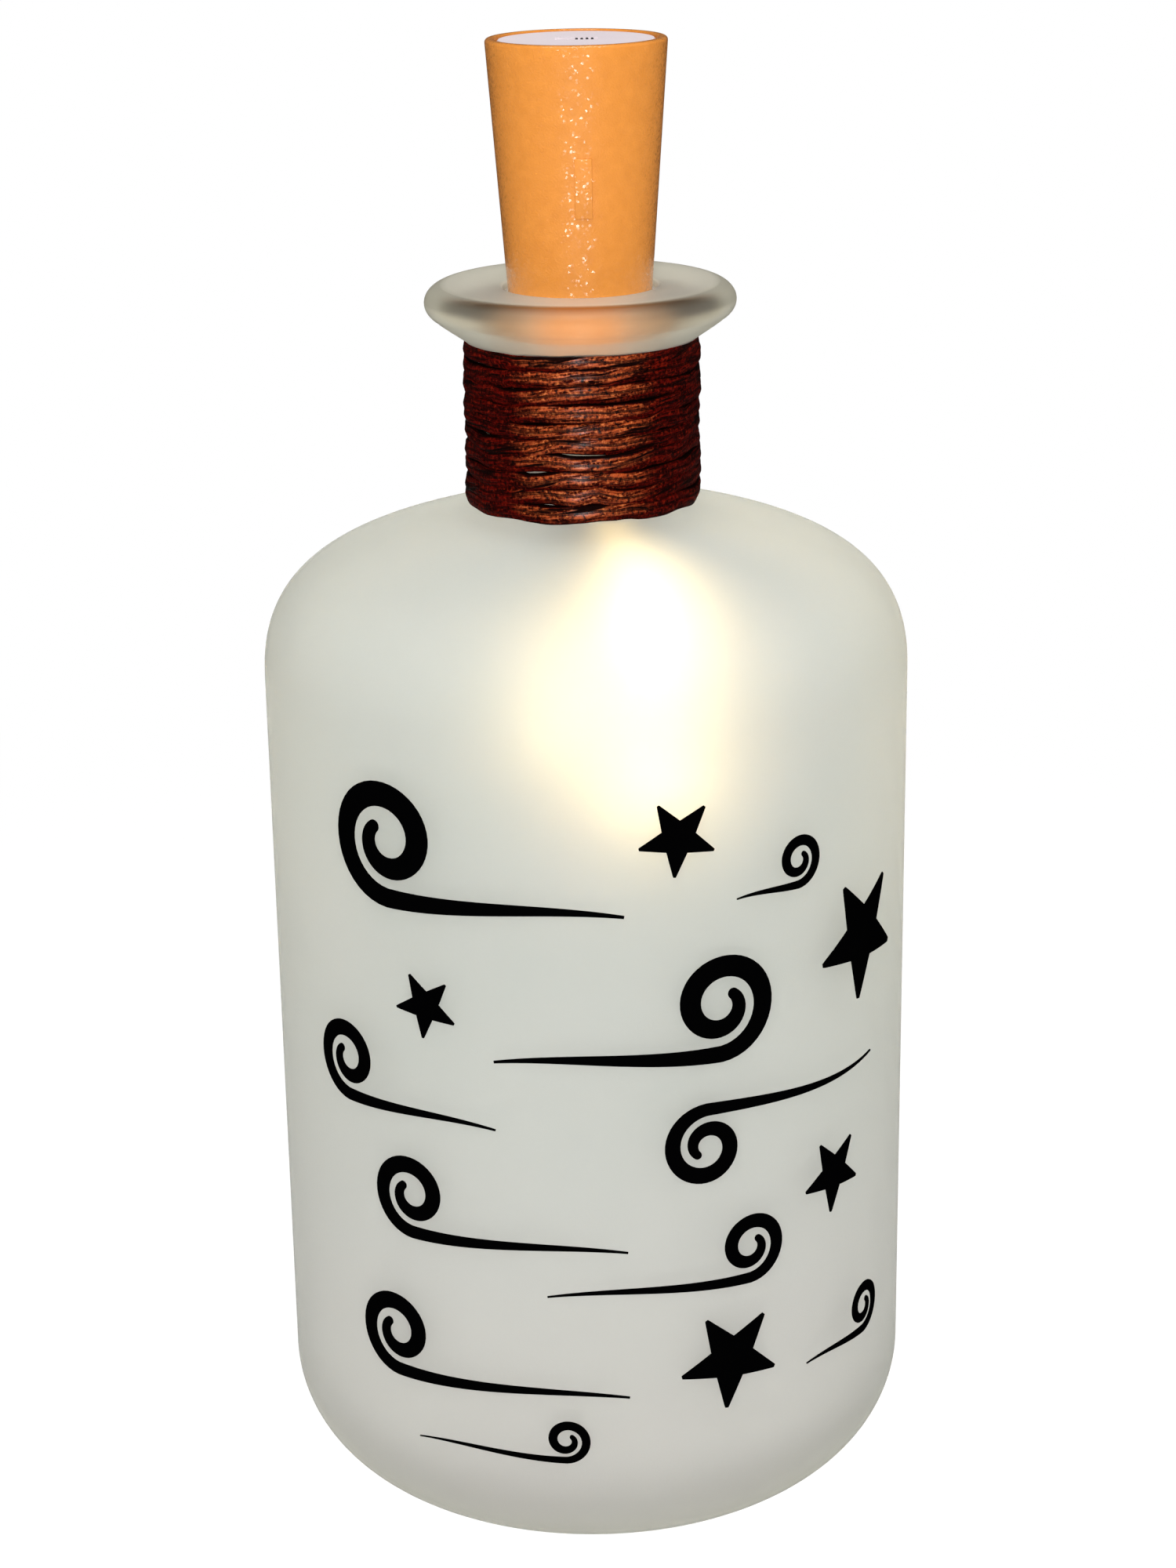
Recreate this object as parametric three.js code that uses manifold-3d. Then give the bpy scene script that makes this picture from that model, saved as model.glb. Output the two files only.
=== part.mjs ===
// A bottle light: a frosted glass bottle with a cord wound round its neck and cut vinyl on its wall.
// Its stopper holds three button cells, a switch and a short string of small lamps.
// Millimetres, +Z up, front at -Y. The origin is where the bottle's axis meets the table.

import * as THREE from "three";
import { mergeVertices } from "three/addons/utils/BufferGeometryUtils.js";
import Module from "manifold-3d";

const wasm = await Module();
wasm.setup();

// Between pieces that touch or slide on each other
const CLEARANCE = 0.3;

// Button cells and the insert that carries them
const CELL_COUNT = 3;
const CELL_RADIUS = 5.8;
const CELL_HEIGHT = 5.4;
const CELL_CAP_STEP = 0.8;
const CARRIER_WALL = 0.95;
const CARRIER_FLOOR = 1.2;
const PARTITION = 1.2;
const HEAD_THICKNESS = 1.8;
const HEAD_SET_BACK = 0.2;
const HEAD_EDGE = 0.3;
const SPRING_HEIGHT = 6;
const SPRING_RADIUS = 3.4;
const SPRING_WIRE = 0.5;
const SPRING_TURNS = 4;
const CONTACT_PLATE = 0.5;
const CELL_EDGE = 0.3;
const STRIP_WIDTH = 2.2;
const STRIP_THICKNESS = 0.5;

// Slide switch under the insert's head
const SWITCH_LENGTH = 8.6;
const SWITCH_WIDTH = 3.8;
const SWITCH_HEIGHT = 3.6;
const KNOB_LENGTH = 2.6;
const KNOB_WIDTH = 1.9;
const KNOB_TRAVEL = 2;
const STEM_LENGTH = 1.4;
const STEM_WIDTH = 0.9;
const STEM_DEPTH = 1.6;

// Circuit board in the foot of the stopper
const BOARD_THICKNESS = 1;
const UNDER_BOARD_SPACE = 3.6;
const PIN_HEIGHT = 5.6;
const PIN_RADIUS = 0.7;
const PIN_FOOT = 0.5;
const BOARD_PITCH = 3.7;
const CHIP_SIZE = [3, 2.6, 1.1];
const RESISTOR_SIZE = [2.2, 1.3, 0.7];

// Stopper shell
const SHELL_WALL = 1.65;
const SHELL_FLOOR = 2;
const BOARD_LEDGE = 1.5;
const STOPPER_TAPER = 0.0697;
const STOPPER_DEPTH = 16.8;
const STOPPER_EDGE = 0.6;
const RIM_WIDTH = 1.05;

// Lamp string and its grommet
const WIRE_RADIUS = 0.4;
const GROMMET_WALL = 0.8;
const GROMMET_FLANGE = 0.9;
const GROMMET_FLANGE_THICKNESS = 0.9;
const GROMMET_NOSE = 0.5;
const STRING_LEAD = 10;
const LEAD_STOPS = [0, 0.5, 0.9];
const STRING_RADIUS = 4.8;
const STRING_SHIFT = 2.4;
const STRING_PITCH = 3.6;
const STRING_OPENING_TURNS = 1.2;
const LED_COUNT = 10;
const FIRST_LED_TURN = 1.25;
const FIRST_LED_AZIMUTH = 10;
const LED_STEP_AZIMUTH = 18;
const CLOSE_LEDS = 6;
const LONG_RUNS = 2;
const LONG_RUN_TURNS = 0.44;
const BEAD_LENGTH = 4.2;
const BEAD_WIDTH = 3;
const STRING_END = 0.8;

// Glass bottle
const BODY_RADIUS = 41;
const BASE_CORNER = 14.8;
const FOOT_RING = 6.2;
const PUSH_UP = 2.5;
const BASE_THICKNESS = 5;
const GLASS_WALL = 3;
const SHOULDER_Z = 109.6;
const SHOULDER_HEIGHT = 21;
const SHOULDER_SPRING = 16.1;
const SHOULDER_REACH = 12.5;
const SHOULDER_FALL = 4.6;
const NECK_WALL = 3.6;
const NECK_HEIGHT = 18.8;
const NECK_ROOT_FILLET = 0.9;
const LIP_OVERHANG = 6.4;
const LIP_EDGE_DEPTH = 2.9;
const LIP_EDGE_THICKNESS = 4.6;
const LIP_EDGE_START = -45;
const LIP_FLARE_HEIGHT = 4.3;
const LIP_FLARE_SPRING = 1.6;
const LIP_DISH = 0.4;
const MOUTH_ROUNDING = 0.8;

// Cord winding round the neck
const CORD_DIAMETER = 1.25;
const CORD_TURN_GAP = 0.45;

// Cut vinyl on the front of the wall
const VINYL_THICKNESS = 0.25;
const STAR_POINTS = 5;
const STAR_WAIST = 0.44;
const STAR_TIP_CUT = 0.12;
const STAR_TILT = -6;
const SWIRL_DIP = 0.06;
const CURL_TURNS = 1.35;
const CURL_END = 0.3;
const SWIRL_WIDTH = 0.42;
const SWIRL_TAIL = 0.12;
const SWIRL_SWELL = 0.85;

// Facets
const BOTTLE_SEGMENTS = 44;
const ROUND_SEGMENTS = 36;
const CELL_SEGMENTS = 24;
const SMALL_SEGMENTS = 12;
const LOOP_STEPS = 24;
const LOOP_SIDES = 6;
const CURL_STEPS = 8;
const CURL_SIDES = 5;
const STRING_STEPS = 12;
const CORNER_STEPS = 5;
const FILLET_STEPS = 3;
const DOME_STEPS = 4;
const FLARE_STEPS = 4;
const LIP_STEPS = 6;
const SHOULDER_STEPS = 9;
const SWIRL_WAVE_STEPS = 9;
const SWIRL_CURL_STEPS = 15;

// Heights, from the lip down and from the stopper's foot up
const shoulderTopZ = SHOULDER_Z + SHOULDER_HEIGHT;
const neckTopZ = shoulderTopZ + NECK_HEIGHT;
const lipBottomZ = neckTopZ + LIP_FLARE_HEIGHT;
const lipTopZ = lipBottomZ + LIP_EDGE_THICKNESS;
const stopperBottomZ = lipTopZ - STOPPER_DEPTH;
const shellFloorZ = stopperBottomZ + SHELL_FLOOR;
const ledgeZ = shellFloorZ + UNDER_BOARD_SPACE;
const boardBottomZ = ledgeZ + CLEARANCE;
const boardTopZ = boardBottomZ + BOARD_THICKNESS;
const pinBottomZ = boardTopZ + CLEARANCE;
const carrierBottomZ = pinBottomZ + PIN_HEIGHT + CLEARANCE;
const carrierFloorZ = carrierBottomZ + CARRIER_FLOOR;
const springBottomZ = carrierFloorZ + CLEARANCE;
const cellBottomZ = springBottomZ + SPRING_HEIGHT + CLEARANCE;
const cellPitch = CELL_HEIGHT + CLEARANCE;
const contactPlateZ = cellBottomZ + CELL_COUNT * cellPitch;
const partitionBottomZ = contactPlateZ + CONTACT_PLATE + CLEARANCE;
const partitionTopZ = partitionBottomZ + PARTITION;
const switchBottomZ = partitionTopZ + CLEARANCE;
const switchTopZ = switchBottomZ + SWITCH_HEIGHT;
const headBottomZ = switchTopZ + CLEARANCE;
const headTopZ = headBottomZ + HEAD_THICKNESS;
const stopperTopZ = headTopZ + HEAD_SET_BACK;

// Radii, from the cells out to the lip
const bayRadius = CELL_RADIUS + CLEARANCE;
const carrierRadius = bayRadius + CARRIER_WALL;
const cavityRadius = carrierRadius + CLEARANCE;
const seatRadius = cavityRadius + SHELL_WALL;
const boreRadius = seatRadius + CLEARANCE;
const neckRadius = boreRadius + NECK_WALL;
const lipRadius = neckRadius + LIP_OVERHANG;
const stopperRadiusAt = (z) => seatRadius + STOPPER_TAPER * (z - lipTopZ);
const stopperTopRadius = stopperRadiusAt(stopperTopZ);
const recessRadius = stopperTopRadius - RIM_WIDTH;
const headRadius = recessRadius - CLEARANCE;
const recessZ = headBottomZ - CLEARANCE;
const grommetBore = WIRE_RADIUS + CLEARANCE;
const grommetRadius = grommetBore + GROMMET_WALL;
const wireHoleRadius = grommetRadius + CLEARANCE;

// Materials
const finish = (color, roughness, metalness = 0) =>
  new THREE.MeshStandardMaterial({ color, roughness, metalness });
const frostedGlass = finish(0xd6d8cf, 0.55);
const waxedCord = finish(0x5e2a1a, 0.6);
const blackVinyl = finish(0x050505, 0.4);
const tanPlastic = finish(0xdd8b38, 0.45);
const palePlastic = finish(0xe3d7dc, 0.4);
const steel = finish(0xb9bcc0, 0.3, 1);
const brass = finish(0xc9a65a, 0.35, 1);
const boardGreen = finish(0x1d5a34, 0.5);
const chipBlack = finish(0x16171a, 0.6);
const darkRubber = finish(0x26211e, 0.8);
const silveredWire = finish(0xc4b8a4, 0.35, 1);
const lampResin = finish(0xffe2a6, 0.2);

// Geometry helpers

const radians = THREE.MathUtils.degToRad;

// The profile is a list of [radius, height] points
function lathe(profile, segments) {
  const points = profile.map(([radius, height]) => new THREE.Vector2(radius, height));
  return new THREE.LatheGeometry(points, segments).rotateX(Math.PI / 2);
}

function ellipseArc([centreR, centreZ], [radiusR, radiusZ], fromDegrees, toDegrees, steps) {
  return Array.from({ length: steps + 1 }, (_, i) => {
    const angle = radians(fromDegrees + ((toDegrees - fromDegrees) * i) / steps);
    return [centreR + radiusR * Math.cos(angle), centreZ + radiusZ * Math.sin(angle)];
  });
}

function block([length, width, height], [x, y, bottomZ]) {
  return new THREE.BoxGeometry(length, width, height).translate(x, y, bottomZ + height / 2);
}

function post(radius, bottomZ, topZ, segments = ROUND_SEGMENTS) {
  const height = topZ - bottomZ;
  const cylinder = new THREE.CylinderGeometry(radius, radius, height, segments).rotateX(Math.PI / 2);
  return cylinder.translate(0, 0, bottomZ + height / 2);
}

// A closed skin over rings of points, each ring turning left round the way the rings go on
function skin(rings) {
  const sides = rings[0].length;
  const last = (rings.length - 1) * sides;
  const indices = [];
  for (let ring = 0; ring < rings.length - 1; ring += 1) {
    for (let side = 0; side < sides; side += 1) {
      const a = ring * sides + side;
      const b = ring * sides + ((side + 1) % sides);
      indices.push(a, b, b + sides, a, b + sides, a + sides);
    }
  }
  for (let side = 1; side < sides - 1; side += 1) {
    indices.push(0, side + 1, side, last, last + side, last + side + 1);
  }
  const geometry = new THREE.BufferGeometry().setFromPoints(rings.flat());
  geometry.setIndex(indices);
  return geometry;
}

function tangentsOf(line) {
  return line.map((_, i) => {
    const before = line[Math.max(i - 1, 0)];
    const after = line[Math.min(i + 1, line.length - 1)];
    return after.clone().sub(before).normalize();
  });
}

// A round tube along a line of points, with rings that turn no more than the line does
function tube(line, radius, sides) {
  const tangents = tangentsOf(line);
  const across = new THREE.Vector3(1, 0, 0);
  if (Math.abs(tangents[0].x) > Math.SQRT1_2) across.set(0, 0, 1);
  across.addScaledVector(tangents[0], -across.dot(tangents[0])).normalize();
  const turn = new THREE.Quaternion();
  const rings = line.map((centre, i) => {
    if (i > 0) across.applyQuaternion(turn.setFromUnitVectors(tangents[i - 1], tangents[i]));
    const up = tangents[i].clone().cross(across);
    return Array.from({ length: sides }, (_, side) => {
      const angle = (2 * Math.PI * side) / sides;
      const point = centre.clone().addScaledVector(across, radius * Math.cos(angle));
      return point.addScaledVector(up, radius * Math.sin(angle));
    });
  });
  return skin(rings);
}

// The least distance between points of a wound tube that are more than half a loop apart
function leastGap(geometry, sides, loopSteps) {
  const place = geometry.getAttribute("position");
  const a = new THREE.Vector3();
  const b = new THREE.Vector3();
  let least = Infinity;
  for (let i = 0; i < place.count; i += 1) {
    a.fromBufferAttribute(place, i);
    for (let j = i + (sides * loopSteps) / 2; j < place.count; j += 1) {
      least = Math.min(least, a.distanceTo(b.fromBufferAttribute(place, j)));
    }
  }
  return least;
}

function solid(geometry) {
  const bare = geometry.clone();
  bare.deleteAttribute("normal");
  bare.deleteAttribute("uv");
  const merged = mergeVertices(bare);
  return new wasm.Manifold(
    new wasm.Mesh({
      numProp: 3,
      vertProperties: new Float32Array(merged.getAttribute("position").array),
      triVerts: new Uint32Array(merged.getIndex().array),
    }),
  );
}

function geometryOf(manifold) {
  const { vertProperties, triVerts } = manifold.getMesh();
  const geometry = new THREE.BufferGeometry();
  geometry.setAttribute("position", new THREE.BufferAttribute(vertProperties, 3));
  geometry.setIndex(new THREE.BufferAttribute(triVerts, 1));
  return geometry;
}

const cut = (geometry, ...tools) =>
  geometryOf(tools.reduce((body, tool) => body.subtract(solid(tool)), solid(geometry)));

const join = (...geometries) =>
  geometryOf(geometries.map(solid).reduce((body, other) => body.add(other)));

function piece(group, name, geometry, material) {
  const mesh = new THREE.Mesh(geometry, material);
  mesh.name = name;
  group.add(mesh);
}

// Glass bottle

function shoulderCurve() {
  const rootRadius = neckRadius + NECK_ROOT_FILLET;
  return new THREE.CubicBezierCurve(
    new THREE.Vector2(BODY_RADIUS, SHOULDER_Z),
    new THREE.Vector2(BODY_RADIUS, SHOULDER_Z + SHOULDER_SPRING),
    new THREE.Vector2(rootRadius + SHOULDER_REACH, shoulderTopZ - SHOULDER_FALL),
    new THREE.Vector2(rootRadius, shoulderTopZ),
  );
}

// The neck's wall runs out in one curve into the rounded edge of the lip
function flareCurve([edgeR, edgeZ]) {
  return new THREE.CubicBezierCurve(
    new THREE.Vector2(neckRadius, neckTopZ),
    new THREE.Vector2(neckRadius, neckTopZ + LIP_FLARE_SPRING),
    new THREE.Vector2(edgeR - LIP_EDGE_DEPTH, edgeZ - LIP_EDGE_THICKNESS / 2),
    new THREE.Vector2(edgeR, edgeZ),
  );
}

// The base swells up in the middle, inside the ring that it stands on
function baseDome(radius, bottomZ) {
  return Array.from({ length: DOME_STEPS + 1 }, (_, i) => {
    const share = i / DOME_STEPS;
    return [radius * share, bottomZ + (PUSH_UP * (1 + Math.cos(Math.PI * share))) / 2];
  });
}

function bottleProfile() {
  const shoulder = shoulderCurve();
  const shares = Array.from({ length: SHOULDER_STEPS + 1 }, (_, i) => i / SHOULDER_STEPS);
  const outerShoulder = shares.map((t) => shoulder.getPoint(t).toArray());
  const innerShoulder = shares.map((t) => {
    const along = shoulder.getTangent(t);
    const inward = new THREE.Vector2(-along.y, along.x);
    return shoulder.getPoint(t).addScaledVector(inward, GLASS_WALL).toArray();
  });
  const [innerEndR, innerEndZ] = innerShoulder.at(-1);
  const boreEndZ = innerEndZ + ((innerEndR - boreRadius) * SHOULDER_FALL) / SHOULDER_REACH;
  const flatRadius = BODY_RADIUS - BASE_CORNER;
  const innerCorner = BASE_CORNER - GLASS_WALL;
  const rootCentre = [neckRadius + NECK_ROOT_FILLET, shoulderTopZ + NECK_ROOT_FILLET];
  const edgeCentre = [lipRadius - LIP_EDGE_DEPTH, lipBottomZ + LIP_EDGE_THICKNESS / 2];
  const edgeRadii = [LIP_EDGE_DEPTH, LIP_EDGE_THICKNESS / 2];
  const lipEdge = ellipseArc(edgeCentre, edgeRadii, LIP_EDGE_START, 90, LIP_STEPS);
  const flare = flareCurve(lipEdge[0]).getPoints(FLARE_STEPS).slice(0, -1);
  const mouthCentre = [boreRadius + MOUTH_ROUNDING, lipTopZ - LIP_DISH - MOUTH_ROUNDING];
  const roundMouth = [MOUTH_ROUNDING, MOUTH_ROUNDING];
  const roundRoot = [NECK_ROOT_FILLET, NECK_ROOT_FILLET];
  return [
    ...baseDome(flatRadius - FOOT_RING, 0),
    ...ellipseArc([flatRadius, BASE_CORNER], [BASE_CORNER, BASE_CORNER], -90, 0, CORNER_STEPS),
    ...outerShoulder,
    ...ellipseArc(rootCentre, roundRoot, 270, 180, FILLET_STEPS).slice(1),
    ...flare.map((point) => point.toArray()),
    ...lipEdge,
    ...ellipseArc(mouthCentre, roundMouth, 90, 180, FILLET_STEPS),
    [boreRadius, boreEndZ],
    ...innerShoulder.reverse(),
    ...ellipseArc(
      [flatRadius, BASE_THICKNESS + innerCorner],
      [innerCorner, innerCorner],
      0,
      -90,
      CORNER_STEPS,
    ),
    ...baseDome(flatRadius - FOOT_RING, BASE_THICKNESS).reverse(),
  ];
}

// Cord winding: one tube, with straight ends as long as the cord is thick

function windingLine() {
  const cordRadius = CORD_DIAMETER / 2;
  const room = cordRadius + CLEARANCE;
  const radius = neckRadius + room;
  const bottomZ = shoulderTopZ + Math.max(room, NECK_ROOT_FILLET);
  const turns = Math.floor((neckTopZ - bottomZ) / (CORD_DIAMETER + CORD_TURN_GAP));
  const steps = turns * LOOP_STEPS;
  const line = Array.from({ length: steps + 1 }, (_, i) => {
    const angle = (2 * Math.PI * i) / LOOP_STEPS + Math.PI / 2;
    const z = bottomZ + ((neckTopZ - bottomZ) * i) / steps;
    return new THREE.Vector3(radius * Math.cos(angle), radius * Math.sin(angle), z);
  });
  const runOn = (end, next) =>
    end.clone().addScaledVector(end.clone().sub(next).normalize(), CORD_DIAMETER);
  return [runOn(line[0], line[1]), ...line, runOn(line.at(-1), line.at(-2))];
}

// Cut vinyl: made flat, then bent round the wall

function straightWallZ(share) {
  return BASE_CORNER + share * (SHOULDER_Z - BASE_CORNER);
}

function bend(flat, { azimuth, share }) {
  const place = flat.getAttribute("position");
  const centreZ = straightWallZ(share);
  for (let i = 0; i < place.count; i += 1) {
    const angle = radians(azimuth) + place.getX(i) / BODY_RADIUS;
    const radius = BODY_RADIUS + CLEARANCE + place.getZ(i);
    place.setXYZ(i, radius * Math.sin(angle), -radius * Math.cos(angle), centreZ + place.getY(i));
  }
  return flat;
}

// A five-pointed star with one point down and blunt tips, tilted a little
function starGeometry(star) {
  const size = star.size * BODY_RADIUS;
  const outline = [];
  const corner = (radius, angle) =>
    outline.push(new THREE.Vector2(radius * Math.cos(angle), radius * Math.sin(angle)));
  for (let point = 0; point < STAR_POINTS; point += 1) {
    const tip = radians(STAR_TILT - 90) + (2 * Math.PI * point) / STAR_POINTS;
    corner(size, tip - STAR_TIP_CUT / 2);
    corner(size, tip + STAR_TIP_CUT / 2);
    corner(size * STAR_WAIST, tip + Math.PI / STAR_POINTS);
  }
  const shape = new THREE.Shape(outline);
  return new THREE.ExtrudeGeometry(shape, { depth: VINYL_THICKNESS, bevelEnabled: false });
}

// A breeze swirl: a shallow wave from a thin tail, ending in a curl.
// It runs to the right for hand 1 and to the left for hand -1, and curls up for lift 1, down for -1.
function swirlLine(length, curl) {
  const wave = new THREE.CubicBezierCurve(
    new THREE.Vector2(0, 0),
    new THREE.Vector2(length / 3, SWIRL_DIP * length),
    new THREE.Vector2((2 * length) / 3, 0),
    new THREE.Vector2(length, 0),
  );
  const line = wave.getPoints(SWIRL_WAVE_STEPS);
  for (let i = 1; i <= SWIRL_CURL_STEPS; i += 1) {
    const share = i / SWIRL_CURL_STEPS;
    const angle = 2 * Math.PI * (CURL_TURNS * share - 1 / 4);
    const radius = curl * (1 - (1 - CURL_END) * share);
    line.push(new THREE.Vector2(length + radius * Math.cos(angle), curl + radius * Math.sin(angle)));
  }
  return line;
}

function swirlGeometry(swirl) {
  const curl = swirl.curl * BODY_RADIUS;
  const line = swirlLine(swirl.length * BODY_RADIUS, curl);
  const tangents = tangentsOf(line);
  const widest = (SWIRL_WIDTH * curl) / 2;
  const rings = line.map((point, i) => {
    const share = i / (line.length - 1);
    const half = widest * (SWIRL_TAIL + (1 - SWIRL_TAIL) * Math.sin(Math.PI * share * SWIRL_SWELL));
    const corner = (side, height) => {
      const x = point.x - side * half * tangents[i].y;
      const y = point.y + side * half * tangents[i].x;
      return new THREE.Vector3(swirl.hand * x, swirl.lift * y, height);
    };
    const ring = [corner(1, 0), corner(1, VINYL_THICKNESS), corner(-1, VINYL_THICKNESS), corner(-1, 0)];
    return swirl.hand * swirl.lift > 0 ? ring : ring.reverse();
  });
  return skin(rings);
}

// Stopper

function shellProfile() {
  const footRadius = stopperRadiusAt(stopperBottomZ);
  const round = [STOPPER_EDGE, STOPPER_EDGE];
  const footCentre = [footRadius - STOPPER_EDGE, stopperBottomZ + STOPPER_EDGE];
  const topCentre = [stopperTopRadius - STOPPER_EDGE, stopperTopZ - STOPPER_EDGE];
  const lowerRadius = cavityRadius - BOARD_LEDGE;
  return [
    [wireHoleRadius, stopperBottomZ],
    ...ellipseArc(footCentre, round, -90, 0, FILLET_STEPS),
    ...ellipseArc(topCentre, round, 0, 90, FILLET_STEPS),
    [recessRadius, stopperTopZ],
    [recessRadius, recessZ],
    [cavityRadius, recessZ],
    [cavityRadius, ledgeZ],
    [lowerRadius, ledgeZ],
    [lowerRadius, shellFloorZ],
    [wireHoleRadius, shellFloorZ],
    [wireHoleRadius, stopperBottomZ],
  ];
}

function grommetProfile() {
  const noseZ = stopperBottomZ - GROMMET_NOSE;
  const flangeZ = shellFloorZ + CLEARANCE;
  const flangeRadius = wireHoleRadius + GROMMET_FLANGE;
  return [
    [grommetBore, noseZ],
    [grommetRadius, noseZ],
    [grommetRadius, flangeZ],
    [flangeRadius, flangeZ],
    [flangeRadius, flangeZ + GROMMET_FLANGE_THICKNESS],
    [grommetBore, flangeZ + GROMMET_FLANGE_THICKNESS],
    [grommetBore, noseZ],
  ];
}

function pinProfile() {
  const footTopZ = pinBottomZ + PIN_FOOT;
  const topZ = pinBottomZ + PIN_HEIGHT;
  return [
    [0, pinBottomZ],
    [PIN_RADIUS + PIN_FOOT, pinBottomZ],
    [PIN_RADIUS + PIN_FOOT, footTopZ],
    [PIN_RADIUS, footTopZ],
    ...ellipseArc([0, topZ - PIN_RADIUS], [PIN_RADIUS, PIN_RADIUS], 0, 90, FILLET_STEPS),
  ];
}

// Battery insert: a head and a carrier in one moulding, open at the front where the cells go in

function insertGeometry() {
  const body = lathe(
    [
      [0, carrierBottomZ],
      [carrierRadius, carrierBottomZ],
      [carrierRadius, headBottomZ],
      [headRadius, headBottomZ],
      [headRadius, headTopZ - HEAD_EDGE],
      [headRadius - HEAD_EDGE, headTopZ],
      [0, headTopZ],
    ],
    ROUND_SEGMENTS,
  );
  const cellBay = post(bayRadius, carrierFloorZ, partitionBottomZ);
  const windowDepth = 2 * carrierRadius;
  const window = block(
    [2 * bayRadius, windowDepth, partitionBottomZ - carrierFloorZ],
    [0, -windowDepth / 2, carrierFloorZ],
  );
  const switchBay = post(bayRadius, partitionTopZ, headBottomZ);
  const knobSlot = block(
    [
      KNOB_LENGTH + KNOB_TRAVEL + 2 * CLEARANCE,
      KNOB_WIDTH + 2 * CLEARANCE,
      HEAD_THICKNESS + 2 * CLEARANCE,
    ],
    [0, 0, headBottomZ - CLEARANCE],
  );
  const stripSlot = block(
    [STRIP_WIDTH + 2 * CLEARANCE, 2 * CARRIER_WALL, partitionTopZ - carrierBottomZ + 2 * CLEARANCE],
    [0, bayRadius + CARRIER_WALL - CLEARANCE, carrierBottomZ - CLEARANCE],
  );
  return cut(body, cellBay, window, switchBay, knobSlot, stripSlot);
}

function cellProfile(bottomZ) {
  const topZ = bottomZ + CELL_HEIGHT;
  const capRadius = CELL_RADIUS - CELL_CAP_STEP;
  return [
    [0, bottomZ],
    [CELL_RADIUS - CELL_EDGE, bottomZ],
    [CELL_RADIUS, bottomZ + CELL_EDGE],
    [CELL_RADIUS, topZ - CELL_CAP_STEP],
    [capRadius, topZ - CELL_CAP_STEP / 2],
    [capRadius - CELL_EDGE, topZ],
    [0, topZ],
  ];
}

function springLine() {
  const wireRadius = SPRING_WIRE / 2;
  const steps = SPRING_TURNS * CURL_STEPS;
  return Array.from({ length: steps + 1 }, (_, i) => {
    const angle = (2 * Math.PI * i) / CURL_STEPS;
    const z = springBottomZ + wireRadius + ((SPRING_HEIGHT - SPRING_WIRE) * i) / steps;
    return new THREE.Vector3(SPRING_RADIUS * Math.cos(angle), SPRING_RADIUS * Math.sin(angle), z);
  });
}

// The knob rests at the end of its slot where the lamps are on
const knobX = KNOB_TRAVEL / 2;

function knobGeometry() {
  const grip = block([KNOB_LENGTH, KNOB_WIDTH, HEAD_THICKNESS], [knobX, 0, headBottomZ]);
  const stem = block(
    [STEM_LENGTH, STEM_WIDTH, STEM_DEPTH + CLEARANCE + HEAD_THICKNESS / 2],
    [knobX, 0, headBottomZ - CLEARANCE - STEM_DEPTH],
  );
  return join(grip, stem);
}

function switchGeometry() {
  const body = block([SWITCH_LENGTH, SWITCH_WIDTH, SWITCH_HEIGHT], [0, 0, switchBottomZ]);
  const slot = block(
    [STEM_LENGTH + KNOB_TRAVEL + 2 * CLEARANCE, STEM_WIDTH + 2 * CLEARANCE, STEM_DEPTH + 2 * CLEARANCE],
    [0, 0, switchTopZ - STEM_DEPTH - CLEARANCE],
  );
  return cut(body, slot);
}

// Lamp string: a straight lead out of the grommet, then a helix that opens and drifts to one side

// After the close lamps come a few with longer runs of wire between them
function ledTurn(led) {
  const longRuns = THREE.MathUtils.clamp(led - CLOSE_LEDS + 1, 0, LONG_RUNS);
  return FIRST_LED_TURN + led * (1 + LED_STEP_AZIMUTH / 360) + longRuns * LONG_RUN_TURNS;
}

function stringPoint(turn) {
  const leadEndZ = stopperBottomZ - GROMMET_NOSE - STRING_LEAD;
  const opening = THREE.MathUtils.smoothstep(turn, 0, STRING_OPENING_TURNS);
  const radius = STRING_RADIUS * opening;
  const azimuth = radians(FIRST_LED_AZIMUTH) + 2 * Math.PI * (turn - FIRST_LED_TURN);
  return new THREE.Vector3(
    STRING_SHIFT * opening + radius * Math.sin(azimuth),
    -radius * Math.cos(azimuth),
    leadEndZ - STRING_PITCH * turn,
  );
}

function stringLine(endRun) {
  const topZ = boardBottomZ - CLEARANCE;
  const lastTurn = ledTurn(LED_COUNT - 1) + endRun / (2 * Math.PI * STRING_RADIUS);
  const steps = Math.ceil(lastTurn * STRING_STEPS);
  const lead = LEAD_STOPS.map((share) =>
    new THREE.Vector3(0, 0, THREE.MathUtils.lerp(topZ, stringPoint(0).z, share)),
  );
  const helix = Array.from({ length: steps + 1 }, (_, i) => stringPoint((lastTurn * i) / steps));
  return [...lead, ...helix];
}

function beadGeometry(led, channel) {
  const turn = ledTurn(led);
  const nearby = 0.01;
  const along = stringPoint(turn + nearby).sub(stringPoint(turn - nearby)).normalize();
  const bead = new THREE.SphereGeometry(1, 10, 6);
  bead.scale(BEAD_LENGTH / 2, BEAD_WIDTH / 2, BEAD_WIDTH / 2);
  bead.applyQuaternion(new THREE.Quaternion().setFromUnitVectors(new THREE.Vector3(1, 0, 0), along));
  bead.translate(...stringPoint(turn).toArray());
  return geometryOf(solid(bead).subtract(channel));
}

// The assembly

const bottle = new THREE.Group();
piece(bottle, "glass_bottle", lathe(bottleProfile(), BOTTLE_SEGMENTS), frostedGlass);

const winding = tube(windingLine(), CORD_DIAMETER / 2, LOOP_SIDES);
piece(bottle, "neck_cord", winding, waxedCord);
console.log("neck cord, least gap to itself (mm):", leastGap(winding, LOOP_SIDES, LOOP_STEPS).toFixed(3));

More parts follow.
